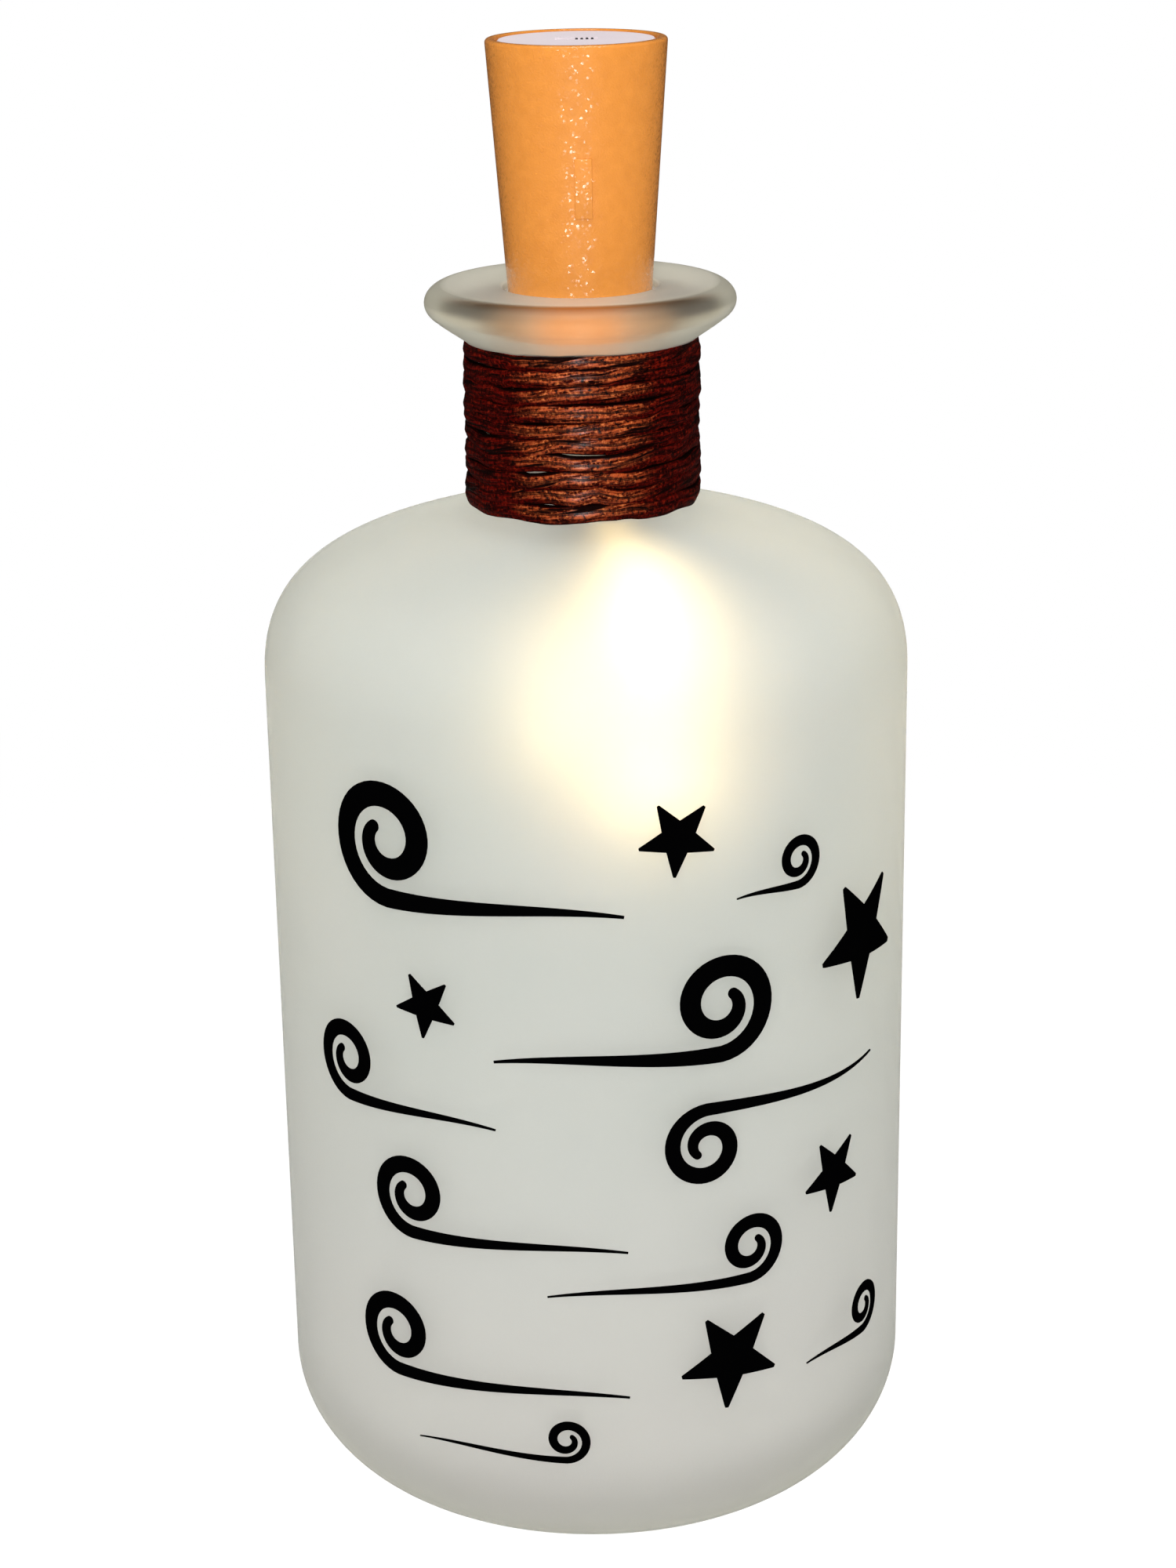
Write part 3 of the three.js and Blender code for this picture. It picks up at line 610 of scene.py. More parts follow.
def waxed_cord(tree, shader):
    """Flat waxed fibre cord, with fibres along the strand. Its sides, hollows, splits and creases are painted
    dark as painted shade, and its wax coat, a painted highlight, is only on the fibres that face the eye.
    """
    along, around = attributes(tree, "along", "around")
    fibre_spot = xyz(along * 330.0, around * 26.0 + along * 420.0, 0.0)
    fibres = noise(fibre_spot, 1.0, 4.0, Roughness=0.65)
    fibre_share = between(fibres, 0.42, 0.62, "LINEAR")
    grain = moulded_grain(tree, 2600.0, 260.0)
    # Painted shade: every cord colour turns dark maroon where the cord is seen edge on, as if lit only from
    # the front.
    painted_side_shade = between(edge_on_share(tree), 0.03, 0.24)
    hollow = blended(painted_side_shade, srgb(56, 6, 1), srgb(24, 0, 0))
    crown = blended(painted_side_shade, srgb(206, 86, 28), srgb(96, 5, 0))
    speck = blended(painted_side_shade, srgb(206, 112, 58), srgb(112, 24, 5))
    # Painted shade: darker in the hollows between fibres and lighter on their crowns.
    tone = blended(fibre_share, hollow, crown)
    tone = blended(grain["Blotch"] * 0.5, tone, hollow)
    tone = blended(between(grain["Grain"], 0.54, 0.7, "LINEAR"), tone, speck)
    tone = blended(between(grain["Grain"], 0.36, 0.48, "LINEAR"), srgb(16, 1, 0), tone)
    # Painted shade: near-black splits in the strands.
    split_spot = xyz(along * 120.0, around * 11.0 + along * 130.0, 3.7)
    whole = between(noise(split_spot, 1.0, 2.0), 0.34, 0.42)
    tone = blended(whole, srgb(16, 2, 1), tone)
    # Painted shade: near black in the creases along the strands' edges, where they press on each other.
    crease = between(abs(maths("SINE", around * tau)), 0.76, 0.94)
    relief = fibres + grain["Grain"] * 0.35 + whole * 0.5
    # Painted highlight: the wax coat is given only to whole fibres that face the eye.
    give(shader, Base_Color=blended(crease, tone, srgb(12, 2, 1)), Roughness=ranged(fibres, 0.5, 0.8),
         IOR=1.12, Normal=bumped(relief, 0.0003), Coat_Roughness=0.3, Coat_IOR=1.5,
         Coat_Weight=fibre_share * whole * ranged(painted_side_shade, 1.0, 0.0))


def black_vinyl(tree, shader):
    """Cut adhesive film: deep black with a low sheen and a faint orange peel."""
    grain = moulded_grain(tree, 1400.0, 90.0)
    tone = blended(grain["Blotch"], (0.0003, 0.0003, 0.0004, 1), (0.0008, 0.0008, 0.0009, 1))
    give(shader, Base_Color=tone, Roughness=ranged(grain["Grain"], 0.42, 0.56), Specular_IOR_Level=0.0,
         Normal=bumped(grain["Grain"], 0.00001, 0.4))


def printed_board(tree, shader):
    """Green solder mask with faint copper tracks under it."""
    tracks = node(tree, "TexBrick", Vector=object_spot(tree), Scale=420.0, offset=0.5,
                  Color1=srgb(22, 84, 46), Color2=srgb(26, 92, 50),
                  Mortar=srgb(52, 128, 66), Mortar_Size=0.03)
    grain = moulded_grain(tree, 4000.0)
    give(shader, Base_Color=tracks["Color"], Roughness=ranged(grain["Grain"], 0.25, 0.4),
         Normal=bumped(tracks["Fac"], 0.00003, 0.5))


def silvered_wire(tree, shader):
    """Two lacquered wires twisted together."""
    along, around, _ = parts_of(node(tree, "UVMap", uv_map="UVMap")[0])
    twist = abs(maths("SINE", (along * 420.0 + around * 2.0) * pi))
    worked = worked_metal(tree)
    silver = blended(worked["Tarnish"], srgb(176, 160, 136), srgb(214, 204, 186))
    # Painted shade: darker in the grooves between the twisted wires.
    give(shader, Base_Color=blended(twist, srgb(92, 78, 60), silver), Metallic=1.0,
         Roughness=ranged(worked["Streak"], 0.24, 0.42), Normal=bumped(twist, 0.0002))


def lamp_resin(tree, shader):
    """A resin drop over a lit lamp chip, dimmer where the eye sees it bare, so that it keeps its colour."""
    grain = moulded_grain(tree, 1500.0, 700.0)
    glow, = attributes(tree, "lamp_glow")
    bare = node(tree, "LightPath")["Is Camera Ray"]
    light = blended(bare, (1.0, 0.8, 0.44, 1), (0.016, 0.0085, 0.002, 1))
    give(shader, Base_Color=blended(grain["Blotch"], srgb(228, 170, 70), srgb(238, 186, 92)),
         Roughness=ranged(grain["Grain"], 0.12, 0.24),
         Emission_Color=blended(glow, grey(0), light), Emission_Strength=34.0)


GLASS = new_material("frosted_glass", frosted_glass)
INNER_GLASS = new_material("inner_glass", inner_glass)
CORD = new_material("waxed_cord", waxed_cord)
VINYL = new_material("black_vinyl", black_vinyl)
TAN_PLASTIC = new_material("tan_plastic", tan_plastic)
PALE_PLASTIC = new_material("pale_plastic", moulded, (230, 217, 222), (240, 229, 233), 0.42, 0.00003, 5200.0)
RUBBER = new_material("dark_rubber", moulded, (34, 29, 26), (48, 42, 38), 0.75, 0.00005)
CHIP_BLACK = new_material("chip_black", moulded, (18, 19, 22), (30, 31, 34), 0.55, 0.00003, 7000.0)
CERAMIC = new_material("resistor_ceramic", moulded, (214, 208, 196), (230, 226, 216), 0.5, 0.00002)
BOARD = new_material("board_green", printed_board)
BRASS = new_material("contact_brass", metal, (186, 146, 72), (222, 186, 108), 0.32)
STEEL = new_material("cell_steel", metal, (170, 172, 176), (206, 208, 210), 0.27)
TIN = new_material("solder_tin", metal, (186, 188, 190), (216, 217, 218), 0.3)
WIRE = new_material("silvered_wire", silvered_wire)
LAMP = new_material("lamp_resin", lamp_resin)


# Glass bottle

def bottle_profile():
    """The outer wall from the base's middle up to the mouth, and the inner wall back down."""
    flat = BODY_RADIUS - BASE_CORNER
    dome = [(PUSH_UP_RADIUS * k / 10, PUSH_UP_HEIGHT / 2 * (1 + cos(pi * k / 10))) for k in range(11)]
    root = NECK_RADIUS + NECK_FILLET
    shoulder = bezier((BODY_RADIUS, SHOULDER_Z), (BODY_RADIUS, SHOULDER_Z + SHOULDER_LEAD),
                      (root + SHOULDER_REACH, NECK_BOTTOM_Z - SHOULDER_DROP), (root, NECK_BOTTOM_Z), 48)
    outer = dome + arc(flat, BASE_CORNER, BASE_CORNER, -90, 0, 24) + shoulder
    outer += arc(root, NECK_BOTTOM_Z + NECK_FILLET, NECK_FILLET, 270, 180, 6)[1:]
    rim = arc(LIP_RADIUS - LIP_ROUNDING, (LIP_BOTTOM_Z + LIP_TOP_Z) / 2, LIP_ROUNDING, -45, 90, 24,
              rise=LIP_HALF_HEIGHT)
    end_x, end_z = rim[0]
    flare = bezier((NECK_RADIUS, NECK_TOP_Z), (NECK_RADIUS, NECK_TOP_Z + FLARE_LEAD),
                   (end_x - LIP_ROUNDING, end_z - LIP_HALF_HEIGHT), (end_x, end_z), 14)
    outer += [(radius + 0.12, height) for radius, height in flare[:7]] + flare[7:-1]
    outer += [(end_x - 0.14, end_z)] + rim
    outer += arc(BORE_RADIUS + MOUTH_ROUNDING, LIP_TOP_Z - LIP_DISH - MOUTH_ROUNDING, MOUTH_ROUNDING,
                 90, 180, 6)
    inner = []
    for k, (radius, height) in enumerate(shoulder):
        before, after = shoulder[max(k - 1, 0)], shoulder[min(k + 1, len(shoulder) - 1)]
        along = (after[0] - before[0], after[1] - before[1])
        size = hypot(*along)
        inner.append((radius - GLASS_WALL * along[1] / size, height + GLASS_WALL * along[0] / size))
    end_x, end_z = inner[-1]
    bore_end = end_z + (end_x - BORE_RADIUS) * SHOULDER_DROP / SHOULDER_REACH
    inner = [(BORE_RADIUS, bore_end)] + inner[::-1]
    corner = BASE_CORNER - GLASS_WALL
    inner += arc(flat, BASE_THICKNESS + corner, corner, 0, -90, 16)
    inner += [(radius, BASE_THICKNESS + height) for radius, height in dome[::-1]]
    return stepped(outer, 3), stepped(inner, 6)


def rising(value, start, reach):
    """0 up to a start and 1 from a reach beyond it."""
    return max(0.0, min(1.0, (value - start) / reach))


def peak(value, middle, reach):
    """1 at the middle and 0 from a reach beyond it on both sides."""
    return max(0.0, 1 - abs(value - middle) / reach)


def glass_thickness(radius, height):
    """How much thicker than the wall the glass is at a place, as a share: the lip's edge and the base,
    weighted up on the lip's crest and outer face. The frosted glass is painted darker and greyer by it, as
    painted shade.
    """
    rim = rising(radius, 13.0, 3.2) if height > NECK_TOP_Z else 0.0
    if height > LIP_TOP_Z - 0.3:
        rim = rising(radius, 16.2, 1.2)
    crest = peak(radius, LIP_CREST_RADIUS, 0.8) if height > LIP_TOP_Z - 1.2 else 0.0
    face = rising(height, LIP_TOP_Z - 2.6, 1.0) if radius > 17.4 else 0.0
    under = peak(radius, 14.8, 1.5) if NECK_TOP_Z < height < LIP_TOP_Z - 2 else 0.0
    mouth = rising(height, 153.5, 2.0) if radius < BORE_RADIUS + 0.3 else 0.0
    foot = rising(height, 15.0, -9.0) if height < SHOULDER_Z else 0.0
    return max(rim * 0.7 + under * 0.5, crest * 1.8, face * 2.0, mouth, foot * 0.6)


def lip_crest(radius, height):
    """The line along the lip's crest that is painted a dark brownish orange: painted shade and a painted
    reflection of the stopper in the thick glass.
    """
    return peak(radius, LIP_CREST_RADIUS, 1.1) if height > LIP_TOP_Z - 1.4 else 0.0


def glass_clearness(_, height):
    """How much less frosted than the wall the glass is: in the lip, and not below the winding."""
    return rising(height, NECK_TOP_Z, 1.5)


def make_bottle():
    outer, inner = bottle_profile()
    bm = turned(outer + inner, 160, second_slot=len(outer) - 1)
    bottle = new_piece("bottle_glass", bm, GLASS, INNER_GLASS)
    spots = [vertex.co for vertex in bottle.data.vertices]
    shares = {"thick_glass": glass_thickness, "clear_glass": glass_clearness, "lip_crest": lip_crest}
    for name, share in shares.items():
        layer = bottle.data.attributes.new(name, "FLOAT", "POINT")
        values = [share(hypot(spot.x, spot.y) / MM, spot.z / MM) for spot in spots]
        layer.data.foreach_set("value", values)
    place(bottle, "bottle", "frosted_glass", "glass_bottle")


make_bottle()


# Geometry Nodes

def grown(name, tree, **values):
    """A plain mesh piece that a Geometry Nodes tree makes from its named inputs."""
    piece = linked(name, bpy.data.meshes.new(name))
    growth = piece.modifiers.new("growth", "NODES")
    growth.node_group = tree
    for item in tree.interface.items_tree:
        label = item.name.replace(" ", "_").lower()
        if item.in_out == "INPUT" and label in values:
            growth[item.identifier] = values[label]
    return applied(piece)


def grow(tree, kind, **inputs):
    """What a new geometry node gives."""
    return node(tree, f"GeometryNode{kind}", **inputs)[0]


def finished(tree, result, geometry, material):
    """Ends a tree: smooth, realized and with its material."""
    smooth = grow(tree, "SetShadeSmooth", Geometry=geometry)
    real = grow(tree, "RealizeInstances", Geometry=smooth)
    feed(result["Geometry"], grow(tree, "SetMaterial", Geometry=real, Material=material))


# Cord winding round the neck

def winding_tree():
    """One flat strand wound up the neck, level at both ends, whose turns sway and press on each other."""
    tree, given, result = node_group(
        "Geometry", "neck_winding", "Geometry", ["Geometry"], Int=["Turns"], Material=["Material"],
        Float=("Radius", "Bottom", "Top", "Strand Width", "Strand Thickness", "Sway", "Lift", "Seed"))
    turns = given["Turns"]
    rod = grow(tree, "CurvePrimitiveLine")
    line = grow(tree, "ResampleCurve", mode="COUNT", Curve=rod, Count=turns * 90.0 + 1.0)
    share = node(tree, "GeometryNodeSplineParameter")["Factor"]
    turn = share * turns
    angle = turn * tau + pi / 2
    cosine, sine = maths("COSINE", angle), maths("SINE", angle)

    def wander(layer, detail):
        """A slow change along the strand that differs from turn to turn, between -1 and 1."""
        spot = xyz(cosine * 0.9, sine * 0.9, turn * 1.7 + (given["Seed"] + layer))
        return (noise(spot, 1.6, detail) - 0.5) * 2.0

    slack = maths("MINIMUM", maths("SINE", share * pi) * 5.0, 1.0)
    level = maths("DIVIDE", 0.5, turns)
    climbed = limited((share - level) / maths("SUBTRACT", 1.0, level * 2.0), 0.0, 1.0)
    rise = climbed * (given["Top"] - given["Bottom"])
    height = given["Bottom"] + rise + wander(0.0, 2.0) * given["Sway"] * slack
    radius = given["Radius"] + wander(31.0, 2.0) * given["Lift"]
    spiral = xyz(radius * cosine, radius * sine, height)
    line = grow(tree, "SetPosition", Geometry=line, Position=spiral)
    line = grow(tree, "SetCurveNormal", mode="Z_UP", Curve=line)
    line = grow(tree, "SetCurveTilt", Curve=line, Tilt=wander(57.0, 1.0) * 0.35)
    line = grow(tree, "SetCurveRadius", Curve=line, Radius=wander(83.0, 2.0) * 0.35 + 1.0)
    length = node(tree, "GeometryNodeSplineParameter")["Length"]
    line = grow(tree, "StoreNamedAttribute", Geometry=line, Name="along", Value=length)

    ring = grow(tree, "CurvePrimitiveCircle", Resolution=28, Radius=1.0)
    round_share = node(tree, "GeometryNodeSplineParameter")["Factor"]
    ridges = maths("SINE", round_share * (14 * pi)) * 0.05 + 0.97
    x, y, _ = parts_of(grow(tree, "InputPosition"))

    def squared(value, power, size):
        """One axis of a circle made blunt and given the strand's size, with ridges."""
        return maths("SIGN", value) * abs(value) ** power * (size * 0.5 * ridges)

    section = xyz(squared(x, 0.6, given["Strand Thickness"]), squared(y, 0.85, given["Strand Width"]), 0.0)
    ring = grow(tree, "StoreNamedAttribute", Geometry=ring, Name="around", Value=round_share)
    ring = grow(tree, "SetPosition", Geometry=ring, Position=section)
    strand = grow(tree, "CurveToMesh", Curve=line, Profile_Curve=ring, Fill_Caps=True)
    finished(tree, result, strand, given["Material"])
    return tree


def make_winding():
    cord = grown("neck_winding", winding_tree(), turns=10, radius=14.0 * MM, bottom=132.2 * MM,
                 top=150.9 * MM, strand_width=2.45 * MM, strand_thickness=1.5 * MM, sway=1.4 * MM,
                 lift=0.4 * MM, seed=4.0, material=CORD)
    place(cord, "bottle", "waxed_cord", "neck_cord")


make_winding()


# Lamp string

def string_point(turn):
    """A place on the string, which hangs in a helix that opens from the lead's end."""
    share = min(max(turn / STRING_OPENING_TURNS, 0), 1)
    radius = STRING_RADIUS * share * share * (3 - 2 * share)
    azimuth = radians(FIRST_LAMP_AZIMUTH) + tau * (turn - FIRST_LAMP_TURN)
    height = STRING_LEAD_END_Z - STRING_PITCH * turn
    shift = STRING_SHIFT * radius / STRING_RADIUS
    return Vector((shift + radius * sin(azimuth), -radius * cos(azimuth), height)) * MM


def lamp_tree():
    """Resin drops threaded on the helix of the lamp string, dimmer at its ends and on the left."""
    tree, given, result = node_group(
        "Geometry", "string_lamps", "Geometry", ["Geometry"], Material=["Material"],
        Int=("Count", "Close Lamps", "Long Runs"),
        Float=("First Turn", "Turn Step", "Long Run", "First Azimuth", "Radius", "Shift", "Pitch", "Top",
               "Length", "Width"))
    radius = given["Radius"]
    number = grow(tree, "InputIndex")
    long_runs = limited(number - given["Close Lamps"] + 1.0, 0.0, given["Long Runs"])
    turn = given["First Turn"] + (number * given["Turn Step"] + long_runs * given["Long Run"])
    azimuth = given["First Azimuth"] + (turn - given["First Turn"]) * tau
    sine, cosine = maths("SINE", azimuth), maths("COSINE", azimuth)
    spot = xyz(given["Shift"] + radius * sine, radius * cosine * -1.0, given["Top"] - given["Pitch"] * turn)
    fall = given["Pitch"] / (radius * -tau)
    points = grow(tree, "Points", Count=given["Count"], Position=spot)
    drop = grow(tree, "MeshUVSphere", Segments=24, Rings=16, Radius=0.5)
    size = xyz(given["Length"], given["Width"], given["Width"])
    drop = grow(tree, "Transform", Geometry=drop, Scale=size)
    heading = node(tree, "FunctionNodeAlignRotationToVector", axis="X", Vector=xyz(cosine, sine, fall))[0]
    drops = grow(tree, "InstanceOnPoints", Points=points, Instance=drop, Rotation=heading)
    waxing = number ** 2.0 * 0.045 + 0.05
    waning = (given["Count"] - number) * 0.3 + 0.1
    ends = maths("MINIMUM", maths("MINIMUM", waxing, waning), 1.0)
    glow = ends * (sine * 0.18 + 0.82)
    drops = grow(tree, "StoreNamedAttribute", domain="INSTANCE", Geometry=drops, Name="lamp_glow", Value=glow)
    finished(tree, result, drops, given["Material"])
    return tree


def make_lamp_string():
    last = FIRST_LAMP_TURN + (LAMP_COUNT - 1) * LAMP_STEP_TURNS + LONG_RUNS * LONG_RUN_TURNS
    last += STRING_TAIL / (tau * STRING_RADIUS)
    steps = ceil(last * 32)
    drop = STRING_LEAD_END_Z - STRING_TOP_Z
    lead = [Vector((0, 0, STRING_TOP_Z + drop * k / 8)) * MM for k in range(8)]
    line = lead + [string_point(last * k / steps) for k in range(steps + 1)]
    string = new_piece("lamp_string", swept(line, WIRE_RADIUS * MM, 12), WIRE)
    place(string, "stopper", "silvered_wire", "string_wire")
    lamps = grown("string_lamps", lamp_tree(), count=LAMP_COUNT, first_turn=FIRST_LAMP_TURN,
                  turn_step=LAMP_STEP_TURNS, close_lamps=CLOSE_LAMPS, long_runs=LONG_RUNS,
                  long_run=LONG_RUN_TURNS, first_azimuth=radians(FIRST_LAMP_AZIMUTH),
                  radius=STRING_RADIUS * MM, shift=STRING_SHIFT * MM, pitch=STRING_PITCH * MM,
                  top=STRING_LEAD_END_Z * MM, length=LAMP_LENGTH * MM, width=LAMP_WIDTH * MM, material=LAMP)
    place(lamps, "stopper", "lamp_resin", *[f"led_bead_{number}" for number in range(1, LAMP_COUNT + 1)])


make_lamp_string()


# Cut vinyl on the wall: made flat, then bent round it

STARS = (
    # degrees round from the front, share of the straight wall's height, size from middle to tip
    (14.8, 0.892, 5.0),
    (55.2, 0.694, 8.6),
    (-29.3, 0.656, 4.4),
    (47.2, 0.373, 5.4),
    (24.2, 0.154, 7.0),
)
SWIRLS = (
    # degrees round, share of height, length, curl radius, hand, lift
    (5.6, 0.793, 30.0, 7.5, -1, 1),
    (25.2, 0.8, 9.0, 3.2, 1, 1),
    (-16.8, 0.593, 28.0, 6.5, 1, 1),
    (-16.8, 0.498, 22.0, 5.0, -1, 1),
    (58.7, 0.519, 28.0, 5.0, -1, -1),
    (5.6, 0.329, 28.0, 5.2, -1, 1),
    (-8.4, 0.266, 26.0, 4.4, 1, 1),
    (5.6, 0.118, 31.0, 5.4, -1, 1),
    (-33.5, 0.026, 20.0, 2.8, 1, 1),
    (40.5, 0.108, 12.0, 3.4, 1, 1),
)
STAR_LEAN = 6
STAR_WAIST = 0.44


def star_sheet(size):
    """A flat star with one point down and rounded tips, as rings of faces round its middle."""
    outline = []
    for point in range(5):
        tip = radians(72 * point - 90 - STAR_LEAN)
        corners = [(size * (1 - 24 * turn * turn), tip + turn) for turn in (-0.05, -0.03, 0.03, 0.05)]
        corners.append((size * STAR_WAIST, tip + pi / 5))
        outline += [(reach * cos(angle), reach * sin(angle)) for reach, angle in corners]
    outline = stepped(outline + outline[:1], 0.8)[:-1]
    bm = bmesh.new()
    rings = [[bm.verts.new((0, 0, 0))]]
    for share in (0.25, 0.5, 0.75, 1):
        rings.append([bm.verts.new((x * share, y * share, 0)) for x, y in outline])
    for inner, outer in zip(rings, rings[1:]):
        for k in range(len(outline)):
            other = (k + 1) % len(outline)
            corners = (inner[k % len(inner)], outer[k], outer[other], inner[other % len(inner)])
            bm.faces.new(list(dict.fromkeys(corners)))
    return bm


def swirl_line(length, curl):
    """A shallow wave that ends in a curl."""
    line = bezier((0, 0), (length / 3, 0.06 * length), (2 * length / 3, 0), (length, 0), 28)
    for step in range(1, 61):
        share = step / 60
        angle = tau * (1.35 * share - 0.25)
        radius = curl * (1 - 0.7 * share)
        line.append((length + radius * cos(angle), curl + radius * sin(angle)))
    return line


def swirl_sheet(length, curl, hand, lift):
    """A flat swirl that swells from a thin tail to its curl and has a round end."""
    line = swirl_line(length, curl)
    widest = 0.42 * curl / 2
    last = len(line) - 1
    rows = []
    for k, (x, y) in enumerate(line):
        before, after = line[max(k - 1, 0)], line[min(k + 1, last)]
        heading = Vector((after[0] - before[0], after[1] - before[1])).normalized()
        half = widest * (0.12 + 0.88 * sin(pi * (k / last) * 0.85))
        rows.append((Vector((x, y)), heading, half))
    end, heading, half = rows[-1]
    for turn in (20, 40, 60, 75, 86):
        angle = radians(turn)
        rows.append((end + heading * half * sin(angle), heading, half * cos(angle)))
    bm = bmesh.new()
    strips = []
    for middle, heading, half in rows:
        across = Vector((-heading.y, heading.x))
        spots = [middle + across * half * side for side in (-1, -0.5, 0, 0.5, 1)]
        strips.append([bm.verts.new((spot.x * hand, spot.y * lift, 0)) for spot in spots])
    for low, high in zip(strips, strips[1:]):
        for k in range(4):
            bm.faces.new((low[k], low[k + 1], high[k + 1], high[k]))
    return bm


def in_fixed_order(bm):
    """Sorts the faces by their corners, since extruding leaves them in an order that varies by run."""
    bm.verts.index_update()

    def order(face):
        first, second, third = sorted(corner.index for corner in face.verts)[:3]
        return (first * len(bm.verts) + second) * len(bm.verts) + third

    bm.faces.sort(key=order)


def stick_on(name, sheet, azimuth, share, cad_node):
    """Gives a flat sheet its thickness, bends it round the wall and places it there."""
    whole = bmesh.ops.extrude_face_region(sheet, geom=sheet.faces[:], use_keep_orig=True)
    for item in whole["geom"]:
        if isinstance(item, bmesh.types.BMVert):
            item.co.z = VINYL_THICKNESS
    bmesh.ops.recalc_face_normals(sheet, faces=sheet.faces)
    middle = BASE_CORNER + share * (SHOULDER_Z - BASE_CORNER)
    for corner in sheet.verts:
        angle = radians(azimuth) + corner.co.x / BODY_RADIUS
        radius = BODY_RADIUS + VINYL_GAP + corner.co.z
        spot = (radius * sin(angle), -radius * cos(angle), middle + corner.co.y)
        corner.co = Vector(spot) * MM
    if sheet.calc_volume(signed=True) < 0:
        bmesh.ops.reverse_faces(sheet, faces=sheet.faces)
    in_fixed_order(sheet)
    place(new_piece(name, sheet, VINYL), "bottle", "black_vinyl", cad_node)


def make_vinyl():
    for number, (azimuth, share, size) in enumerate(STARS, 1):
        stick_on(f"star_{number}", star_sheet(size), azimuth, share, f"vinyl_star_{number}")
    for number, (azimuth, share, *form) in enumerate(SWIRLS, 1):
        stick_on(f"swirl_{number}", swirl_sheet(*form), azimuth, share, f"vinyl_swirl_{number}")


make_vinyl()


# Stopper and what is fixed in it

def stopper_radius(height):
    return STOPPER_SEAT_RADIUS + STOPPER_TAPER * (height - LIP_TOP_Z)


def make_stopper():
    foot = stopper_radius(STOPPER_FOOT_Z)
    top = stopper_radius(STOPPER_TOP_Z)
    seat = CAVITY_RADIUS - 1.5
    outline = [(STRING_HOLE_RADIUS, STOPPER_FOOT_Z)]
    outline += arc(foot - 0.6, STOPPER_FOOT_Z + 0.6, 0.6, -90, 0, 6)
    outline += arc(top - 0.45, STOPPER_TOP_Z - 0.45, 0.45, 0, 90, 6)
    outline += arc(RECESS_RADIUS + 0.2, STOPPER_TOP_Z - 0.2, 0.2, 90, 180, 3)
    outline += [(RECESS_RADIUS, STOPPER_LEDGE_Z), (CAVITY_RADIUS, STOPPER_LEDGE_Z),
                (CAVITY_RADIUS, BOARD_SEAT_Z), (seat, BOARD_SEAT_Z), (seat, STOPPER_FLOOR_Z),
                (STRING_HOLE_RADIUS, STOPPER_FLOOR_Z)]
    wall = turned(stepped(outline, 2), 128, closed=True)
    bar_z = 170.9
    bar_sunk = 0.09
    bar = box((2.1, 0.5, 7.2), (0.6, 0, -3.6), 0.08)
    bmesh.ops.rotate(bar, verts=bar.verts, matrix=Matrix.Rotation(atan(STOPPER_TAPER), 3, "X"))
    spot = (0, (bar_sunk - stopper_radius(bar_z)) * MM, bar_z * MM)
    bmesh.ops.translate(bar, verts=bar.verts, vec=spot)
    cup = carved("stopper_cup", wall, (bar,), 0, TAN_PLASTIC, operation="UNION")
    place(cup, "stopper", "tan_plastic", "stopper_shell")

    hole, sleeve, brim = 0.7, 1.5, 2.5
    low, ledge, high = 141.0, 143.8, 144.7
    flange = [(hole, low)] + arc(sleeve - 0.3, low + 0.3, 0.3, -90, 0, 4) + [(sleeve, ledge), (brim, ledge)]
    flange += arc(brim, high - 0.2, 0.2, 0, 90, 4) + [(hole, high)]
    grommet = new_piece("string_grommet", turned(flange, 48, closed=True), RUBBER)
    place(grommet, "stopper", "dark_rubber", "wire_grommet")


def make_board():
    edge = CAVITY_RADIUS - 0.3
    outline = [(0, BOARD_BOTTOM_Z), (edge - 0.1, BOARD_BOTTOM_Z), (edge, BOARD_BOTTOM_Z + 0.1),
               (edge, BOARD_TOP_Z - 0.1), (edge - 0.1, BOARD_TOP_Z), (0, BOARD_TOP_Z)]
    board = new_piece("board", turned(outline, 72), BOARD)
    place(board, "stopper", "board_green", "circuit_board")

    foot = BOARD_TOP_Z + SOLDER_HEIGHT
    chip = box((3, 2.6, 1.1), (0, PIN_X, foot), 0.12)
    leads = []
    for side in (-1, 1):
        for x in (-0.95, -0.32, 0.32, 0.95):
            leads.append(box((0.28, 0.5, 0.12), (x, PIN_X + side * 1.5, BOARD_TOP_Z + 0.05), 0.03))
            leads.append(box((0.28, 0.12, 0.5), (x, PIN_X + side * 1.37, BOARD_TOP_Z + 0.08), 0.03))
    driver = new_piece("lamp_driver", joined([chip], leads), CHIP_BLACK, TIN)
    place(driver, "stopper", "chip_black", "driver_chip")

    body = box((1.5, 1.26, 0.66), (0, -PIN_X, foot), 0.06)
    caps = [box((0.36, 1.3, 0.7), (side * 0.92, -PIN_X, foot), 0.06) for side in (-1, 1)]
    resistor = new_piece("lamp_resistor", joined([body], caps), CERAMIC, TIN)
    place(resistor, "stopper", "chip_black", "series_resistor")

    collar = [(0, foot), (1.1, foot), (1.2, foot + 0.1), (1.2, foot + 0.4), (1.1, foot + 0.5)]
    shaft = [(0.7, foot + 0.6)] + arc(0, foot + 4.9, 0.7, 0, 90, 8)
    for number, x in enumerate((-PIN_X, PIN_X), 1):
        bm = turned(collar + shaft, 32)
        bmesh.ops.translate(bm, verts=bm.verts, vec=(x * MM, 0, 0))
        pin = new_piece(f"feed_pin_{number}", bm, BRASS)
        place(pin, "stopper", "contact_brass", f"contact_pin_{number}")


make_stopper()
make_board()


# Battery insert and what it carries

def drum(radius, bottom, top):
    """A plain round block that stands on the axis."""
    return turned([(0, bottom), (radius, bottom), (radius, top), (0, top)], 96)


